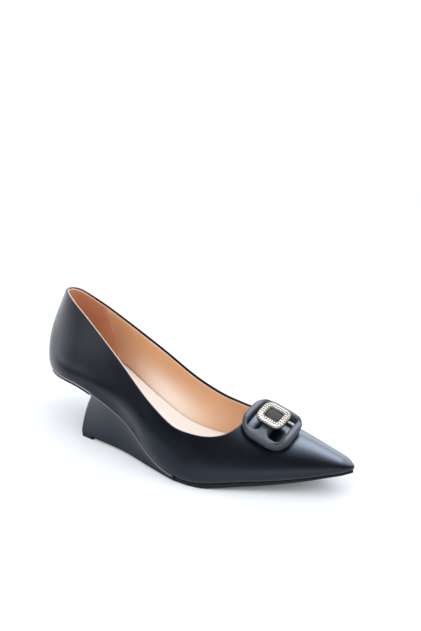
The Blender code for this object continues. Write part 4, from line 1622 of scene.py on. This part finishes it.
@dataclass
class Ornament:
    """Soft frame lying on the vamp, with a plaque of small stones on its bar."""

    length: float = 34.0
    width: float = 34.0
    corner: float = 12.0
    window_corner: float = 3.5
    rail: float = 4.5
    bar: float = 6.4
    height: float = 4.5
    back: float = 193.0
    shift: float = -10.0
    slope: float = 0.31
    roll: float = 38.0
    lift: float = 0.35
    skirt: float = 2.5
    skirt_share: float = 0.6
    skirt_clear: float = 0.6
    skirt_levels: int = 3
    vamp_start: float = 0.3
    foot_levels: tuple[tuple[float, float], ...] = ((0.0, 0.7), (0.25, 0.25), (0.7, 0.0), (1.8, 0.0))
    edge_round: float = 1.9
    edge_steps: int = 8
    plaque_length: float = 18.5
    plaque_width: float = 16.0
    plaque_corner: float = 5.0
    plaque_height: float = 2.5
    border: float = 3.7
    rim_drop: float = 0.06
    bed_drop: float = 0.3
    bed_start: float = 0.6
    sunk_drop: float = 1.0
    inlay_drop: float = 1.1
    inlay_clear: float = 0.55
    inlay_levels: tuple[tuple[float, float], ...] = (
        (0.0, 0.0), (0.35, 0.05), (0.5, 0.35), (0.62, 1.0), (0.7, 1.35))
    stone_pitch: float = 1.58
    stone_radius: float = 0.72
    stone_table: float = 0.52
    stone_height: float = 0.52

    def on_vamp(self, a: np.ndarray, b: np.ndarray, h: np.ndarray) -> np.ndarray:
        """Place of ornament points.

        Args:
            a: Distances forwards from the back edge.
            b: Distances inward.
            h: Distances off the vamp.
        Returns:
            Points in millimetres.
        """
        angle = (b + self.shift) / self.roll
        pitch = math.atan(self.slope)
        up = (self.roll + h) * np.cos(angle) - self.roll + self.lift
        x = self.back + a * math.cos(pitch) + up * math.sin(pitch)
        y = LAST.get("axis", self.back) + (self.roll + h) * np.sin(angle)
        z = LAST.get("ridge", self.back) - a * math.sin(pitch) + up * math.cos(pitch)
        return np.stack(np.broadcast_arrays(x, y, z), -1)

    def drop(self, a: np.ndarray, b: np.ndarray) -> np.ndarray:
        """How far the underside reaches below its own curve, towards the vamp.

        Args:
            a: Distances forwards from the back edge.
            b: Distances inward.
        Returns:
            Distances at the points.
        """
        points = self.on_vamp(a, b, np.zeros_like(a))
        found = np.zeros(len(points))
        for i, (x, y, z) in enumerate(points):
            axis = float(LAST.get("axis", x))
            side = Side.OUTER if y < axis else Side.INNER
            reach = side.value * (y - axis)
            low = np.array(self.vamp_start)
            if reach > LAST.reach(x, low, side):
                found[i] = self.skirt
                continue
            t = solve(lambda t: reach - LAST.reach(x, t, side), low, np.array(1.0))
            gap = z - LAST.wall(x, t, side)[2] - self.skirt_clear
            found[i] = np.clip(self.skirt_share * gap, 0.0, self.skirt)
        return found

    def loop(self, length: float, width: float, corner: float, centre: float) -> np.ndarray:
        """Rounded rectangle in the plan of the ornament, with its points evenly spaced.

        Args:
            length: Size forwards.
            width: Size across.
            corner: Radius of its corners.
            centre: Distance of its middle from the back edge.
        Returns:
            Points in the plan.
        """
        corners = []
        for turn, (sx, sy) in enumerate(((1, 1), (-1, 1), (-1, -1), (1, -1))):
            angle = np.linspace(turn * RIGHT_ANGLE, (turn + 1) * RIGHT_ANGLE, CORNER_POINTS)
            corners.append(np.stack([centre + sx * (0.5 * length - corner) + corner * np.cos(angle),
                                     sy * (0.5 * width - corner) + corner * np.sin(angle)], -1))
        path = np.concatenate(corners + [corners[0][:1]])
        run = run_along(path)
        share = np.linspace(0.0, run[-1], RING + 1)[:-1]
        return np.stack([np.interp(share, run, path[:, 0]), np.interp(share, run, path[:, 1])], -1)

    def plate(self, shapes: Sequence[tuple[float, float, float, float]], levels: Sequence[tuple[float, float]],
              skirted: int = 0) -> bmesh.types.BMesh:
        """Curved plate of an outline with windows, each wall drawn up from a ring of points.

        Args:
            shapes: Length, width, corner and centre of the outline and of each window.
            levels: Height and draw-in of the edge, from the underside up.
            skirted: Lowest levels that reach down towards the vamp.
        Returns:
            Closed mesh.
        """
        bm = bmesh.new()
        for number, (length, width, corner, centre) in enumerate(shapes):
            sign = 1.0 if number == 0 else -1.0
            ring = set(bmesh.ops.create_circle(bm, cap_ends=False, segments=RING, radius=1.0)["verts"])
            edges = [edge for edge in bm.edges if edge.verts[0] in ring]
            order = sorted(ring, key=lambda vert: math.atan2(vert.co.y, vert.co.x) % (2.0 * math.pi))
            fall = self.drop(*self.loop(length, width, corner, centre).T) if skirted else 0.0
            for level, (height, draw) in enumerate(levels):
                d = sign * draw
                flat = self.loop(length - 2.0 * d, width - 2.0 * d, corner - d, centre)
                placed = to_frame(self.on_vamp(*flat.T, height - fall if level < skirted else height))
                if level > 0:
                    lifted = bmesh.ops.extrude_edge_only(bm, edges=edges)["geom"]
                    fresh = {item for item in lifted if isinstance(item, bmesh.types.BMVert)}
                    edges = [item for item in lifted if isinstance(item, bmesh.types.BMEdge)
                             and all(vert in fresh for vert in item.verts)]
                    nearest = {tuple(round(c, 9) for c in vert.co): vert for vert in fresh}
                    order = [nearest[tuple(round(c, 9) for c in vert.co)] for vert in order]
                for vert, co in zip(order, placed):
                    vert.co = co
        loops = open_loops(bm)
        for half in (loops[0::2], loops[1::2]):
            bmesh.ops.triangle_fill(bm, use_beauty=True, use_dissolve=False,
                                    edges=[edge for loop in half for edge in loop])
        return bm

    def frame_mesh(self) -> bmesh.types.BMesh:
        """Frame with two windows and the bar across the foot.

        Returns:
            Closed mesh.
        """
        middle = 0.5 * self.length
        window = 0.5 * (self.length - 2.0 * self.rail - self.bar)
        offset = 0.5 * (self.bar + window)
        shapes = [(self.length, self.width, self.corner, middle)]
        for end in (-1.0, 1.0):
            shapes.append((window, self.width - 2.0 * self.rail, self.window_corner, middle + end * offset))
        levels = list(self.foot_levels)
        for turn in np.linspace(0.0, RIGHT_ANGLE, self.edge_steps):
            height = self.height - self.edge_round + self.edge_round * math.sin(turn)
            levels.append((height, self.edge_round * (1.0 - math.cos(turn))))
        return self.plate(shapes, levels, self.skirt_levels)

    def plaque_mesh(self) -> bmesh.types.BMesh:
        """Plate with a bed for two rows of stones round a sunk middle.

        Returns:
            Closed mesh.
        """
        low = self.plaque_low()
        high = low + self.plaque_height
        rim, bed = high - self.rim_drop, high - self.bed_drop
        levels = [(low, 0.4), (low + 0.4, 0.0), (high - 0.6, 0.0), (high - 0.22, 0.1), (rim, 0.3), (rim, 0.45),
                  (bed, self.bed_start), (bed, self.border), (rim, self.border + 0.15),
                  (rim, self.border + 0.35), (high - self.sunk_drop, self.border + 0.5)]
        return self.plate([self.plaque_shape(0.0)], levels)

    def plaque_shape(self, draw: float) -> tuple[float, float, float, float]:
        """Outline of the plaque drawn in by a distance."""
        return (self.plaque_length - 2.0 * draw, self.plaque_width - 2.0 * draw, self.plaque_corner - draw,
                0.5 * self.length)

    def inlay_mesh(self) -> bmesh.types.BMesh:
        """Dark inlay in the sunk middle, with a soft dome.

        Returns:
            Closed mesh.
        """
        base = self.plaque_low() + self.plaque_height - self.inlay_drop
        levels = [(base + rise, draw) for rise, draw in self.inlay_levels]
        return self.plate([self.plaque_shape(self.border + self.inlay_clear)], levels)

    def plaque_low(self) -> float:
        """Height of the plaque's underside off the vamp."""
        sag = self.plaque_width ** 2 / (8.0 * (self.roll + self.height))
        return self.height + LAST.gap + sag

    def stones_mesh(self) -> bmesh.types.BMesh:
        """Two rows of small cut stones round the plaque.

        Returns:
            One mesh of them all.
        """
        bm = bmesh.new()
        bed = self.plaque_low() + self.plaque_height - self.bed_drop
        for draw in (self.bed_start + self.stone_radius, self.border - self.stone_radius):
            ring = self.loop(*self.plaque_shape(draw))
            ring = np.concatenate([ring, ring[:1]])
            run = run_along(ring)
            spots = np.linspace(0.0, run[-1], int(run[-1] / self.stone_pitch) + 1)[:-1]
            for a, b in zip(np.interp(spots, run, ring[:, 0]), np.interp(spots, run, ring[:, 1])):
                self.stone(bm, a, b, bed)
        return bm

    def stone(self, bm: bmesh.types.BMesh, a: float, b: float, h: float) -> None:
        """Add one cut stone: a flat table over eight slanting faces.

        Args:
            bm: Mesh of the stones.
            a: Distance of its centre forwards from the back edge.
            b: Distance of its centre inward.
            h: Height of its bed off the vamp.
        """
        cut = bmesh.ops.create_cone(bm, cap_ends=True, segments=8, radius1=self.stone_radius,
                                    radius2=self.stone_table * self.stone_radius, depth=1.0)["verts"]
        local = np.array([vert.co[:] for vert in cut])
        depth = np.where(local[:, 2] > 0.0, self.stone_height, 0.0)
        placed = to_frame(self.on_vamp(a + local[:, 0], b + local[:, 1], h + depth))
        for vert, co in zip(cut, placed):
            vert.co = co

    def build(self, looks: dict[str, bpy.types.Material]) -> None:
        """Make the frame, the plaque and its stones.

        Args:
            looks: Materials by the name of their finish.
        """
        make_piece("ornament_frame_soft", self.frame_mesh(), looks["frame"], ("ornament_frame",))
        make_piece("ornament_plaque_plate", self.plaque_mesh(), looks["plaque"], ("ornament_plaque",))
        make_piece("plaque_inlay", self.inlay_mesh(), looks["inlay"])
        make_piece("plaque_stones", self.stones_mesh(), looks["stones"], smooth=False)


@dataclass(frozen=True)
class Glow:
    """Strength that grows or falls softly towards a direction."""

    aim: Row
    edge: float
    full: float
    low: float
    high: float

    def value(self, write: Nodes, way: bpy.types.NodeSocket) -> bpy.types.NodeSocket:
        """Strength in a direction, written as nodes."""
        along = write.add("ShaderNodeVectorMath", {0: way, 1: self.aim}, operation="DOT_PRODUCT")
        return write.ramp(along.outputs["Value"], self.edge, self.full, self.low, self.high)


@dataclass
class Studio:
    """Floor, light and camera."""

    camera_at: Row = (337.2, -271.9, 177.1)
    turn: float = 33.4
    tilt: float = 12.7
    focal: float = 493.5
    image_height: float = 631.0
    target: Row = (0.0, 0.0, 0.05)
    floor_size: float = 12.0
    paper: tuple[Colour, Colour] = ((0.70, 0.72, 0.745), (0.715, 0.732, 0.755))
    paper_glow: tuple[Colour, Colour] = ((0.07, 0.07, 0.07), (0.17, 0.17, 0.17))
    glow_reach: tuple[float, float] = (0.25, 1.2)
    # Painted shade on the floor, seen only in the shoe's reflections.
    dim: Glow = Glow((-0.62, -0.785, 0.0), 0.78, 0.95, 0.0, 0.95)
    dim_reach: tuple[float, float] = (0.12, 0.32)
    ambient: float = 0.95
    ambient_tint: Colour = (0.96, 0.985, 1.02)
    least: float = 0.1
    overhead: Glow = Glow((0.117, 0.436, 0.9), 0.50, 0.95, 0.0, 8.0)
    lamp: Glow = Glow((0.17, 0.08, 0.982), 0.935, 0.995, 0.0, 9.0)
    behind: Glow = Glow((-0.707, 0.707, 0.0), -0.3, 0.5, 0.45, 2.3)
    before: Glow = Glow((0.34, -0.94, 0.0), 0.85, 1.0, 0.0, 0.5)
    low_band: Glow = Glow((0.0, 0.0, 1.0), 0.0, 0.32, 1.0, 0.0)
    toe: Glow = Glow((0.574, -0.819, 0.0), 0.955, 0.99, 0.0, 1.1)
    toe_band: Glow = Glow((0.0, 0.0, 1.0), 0.12, 0.62, 1.0, 0.0)

    def floor(self) -> None:
        """Wide pale floor, painted darker towards one side where the shoe mirrors it, a painted shade seen only in
        reflections.
        """
        paper = bpy.data.materials.new("studio_paper")
        paper.use_nodes = True
        shader = paper.node_tree.nodes["Principled BSDF"]
        write = Nodes(paper.node_tree)
        place = write.add("ShaderNodeTexCoord").outputs["Object"]
        cloud = write.add("ShaderNodeTexNoise", {"Vector": place, "Scale": 3.0})
        pale = write.mix(cloud.outputs[0], *self.paper)
        aim = write.add("ShaderNodeVectorMath", {0: place}, operation="NORMALIZE").outputs["Vector"]
        far = write.add("ShaderNodeVectorMath", {0: place}, operation="LENGTH").outputs["Value"]
        # Painted shade: for reflections only, the floor turns towards black in a band of directions some way from the
        # shoe.
        dim = write.math("MULTIPLY", self.dim.value(write, aim), write.ramp(far, *self.dim_reach, 0.0, 1.0))
        mirrored = write.math("MULTIPLY", dim, write.add("ShaderNodeLightPath").outputs["Is Glossy Ray"])
        write.put(shader, "Base Color", write.mix(mirrored, pale, (0.0, 0.0, 0.0)))
        glow = write.ramp(far, *self.glow_reach, 0.0, 1.0)
        write.put(shader, "Emission Color", write.mix(glow, *self.paper_glow))
        for key, value in (("Emission Strength", 1.0), ("Roughness", 0.7), ("Specular IOR Level", 0.2)):
            write.put(shader, key, value)
        bm = bmesh.new()
        bmesh.ops.create_grid(bm, x_segments=8, y_segments=8, size=self.floor_size)
        made = add_object("studio_floor", bm, paper)

    def world(self) -> None:
        """White surround that the shoe mirrors: bright overhead and behind, dark on the camera's side."""
        world = bpy.data.worlds.new("studio_light")
        bpy.context.scene.world = world
        world.use_nodes = True
        world.node_tree.nodes.clear()
        write = Nodes(world.node_tree)
        way = write.add("ShaderNodeTexCoord").outputs["Generated"]
        flat = write.add("ShaderNodeVectorMath", {0: way, 1: (1.0, 1.0, 0.0)}, operation="MULTIPLY")
        flat = write.add("ShaderNodeVectorMath", {0: flat.outputs[0]}, operation="NORMALIZE").outputs[0]
        sky = write.math("ADD", self.overhead.value(write, way), self.lamp.value(write, way))
        beside = write.math("ADD", self.behind.value(write, way), self.before.value(write, flat))
        beside = write.math("MULTIPLY", beside, self.low_band.value(write, way))
        ahead = write.math("MULTIPLY", self.toe.value(write, flat), self.toe_band.value(write, way))
        mirrored = write.math("ADD", sky, write.math("ADD", beside, ahead))
        mirrored = write.math("ADD", mirrored, self.least)
        path = write.add("ShaderNodeLightPath")
        lit = self.choose(write, path.outputs["Is Glossy Ray"], self.ambient, mirrored)
        seen = self.choose(write, path.outputs["Is Camera Ray"], lit, 1.0)
        tint = write.mix(path.outputs["Is Camera Ray"], self.ambient_tint, (1.0, 1.0, 1.0))
        back = write.add("ShaderNodeBackground", {"Color": tint, "Strength": seen})
        write.add("ShaderNodeOutputWorld", {"Surface": back.outputs[0]})

    def choose(self, write: Nodes, share: object, a: object, b: object) -> bpy.types.NodeSocket:
        """Value between two values."""
        return write.add("ShaderNodeMix", {0: share, 2: a, 3: b}, data_type="FLOAT").outputs[0]

    def look(self) -> Vector:
        """Direction in which the camera looks."""
        a, e = math.radians(self.turn), math.radians(self.tilt)
        return -Vector((math.sin(a) * math.cos(e), -math.cos(a) * math.cos(e), math.sin(e)))

    def set_up(self, name: str, data: bpy.types.ID, place: Sequence[float], way: Vector) -> bpy.types.Object:
        """Put a camera or a light into the scene.

        Args:
            name: Object name.
            data: Camera or light.
            place: Its place in metres.
            way: Direction in which it looks.
        Returns:
            The new object.
        """
        made = bpy.data.objects.new(name, data)
        made.location = place
        made.rotation_mode = "QUATERNION"
        made.rotation_quaternion = way.to_track_quat("-Z", "Y")
        bpy.context.scene.collection.objects.link(made)
        return made

    def camera(self) -> None:
        """Camera at the photograph's place and angle."""
        lens = bpy.data.cameras.new("studio_camera")
        lens.sensor_width = SENSOR
        lens.lens = self.focal * SENSOR / self.image_height
        lens.clip_start = 0.01
        lens.clip_end = 100.0
        place = to_frame(np.array(self.camera_at))
        bpy.context.scene.camera = self.set_up("studio_camera", lens, place, self.look())

    def light(self, name: str, place: Row, size: float, power: float) -> None:
        """Add a soft square light that faces the shoe.

        Args:
            name: Light name.
            place: Its place in metres.
            size: Its side in metres.
            power: Its power in watts.
        """
        data = bpy.data.lights.new(name, "AREA")
        data.shape = "RECTANGLE"
        data.size, data.size_y = size, size
        data.energy = power
        self.set_up(name, data, place, Vector(self.target) - Vector(place)).visible_glossy = False

    def build(self) -> None:
        """Set up the studio."""
        self.floor()
        self.world()
        self.camera()
        self.light("side_softbox", (0.95, -0.3, 1.2), 1.6, 15.0)
        self.light("front_softbox", (-0.7, -1.1, 1.1), 1.2, 11.0)
        view = bpy.context.scene.view_settings
        view.view_transform = "Standard"
        view.look = "None"
        view.exposure = 0.0


def main() -> None:
    """Build and dress the shoe in order, then the studio."""
    logging.basicConfig(level=logging.INFO, format="%(name)s %(message)s")
    groups = {"grain": grain_group(), "handling": handling_group()}
    looks = {name: finish.build(groups) for name, finish in FINISHES.items()}
    bottom = Bottom()
    for assembly in (Upper(), Footbed(), bottom, Wedge(bottom), Ornament()):
        LOG.info("building %s", type(assembly).__name__)
        assembly.build(looks)
    Studio().build()


if __name__ == "__main__":
    main()
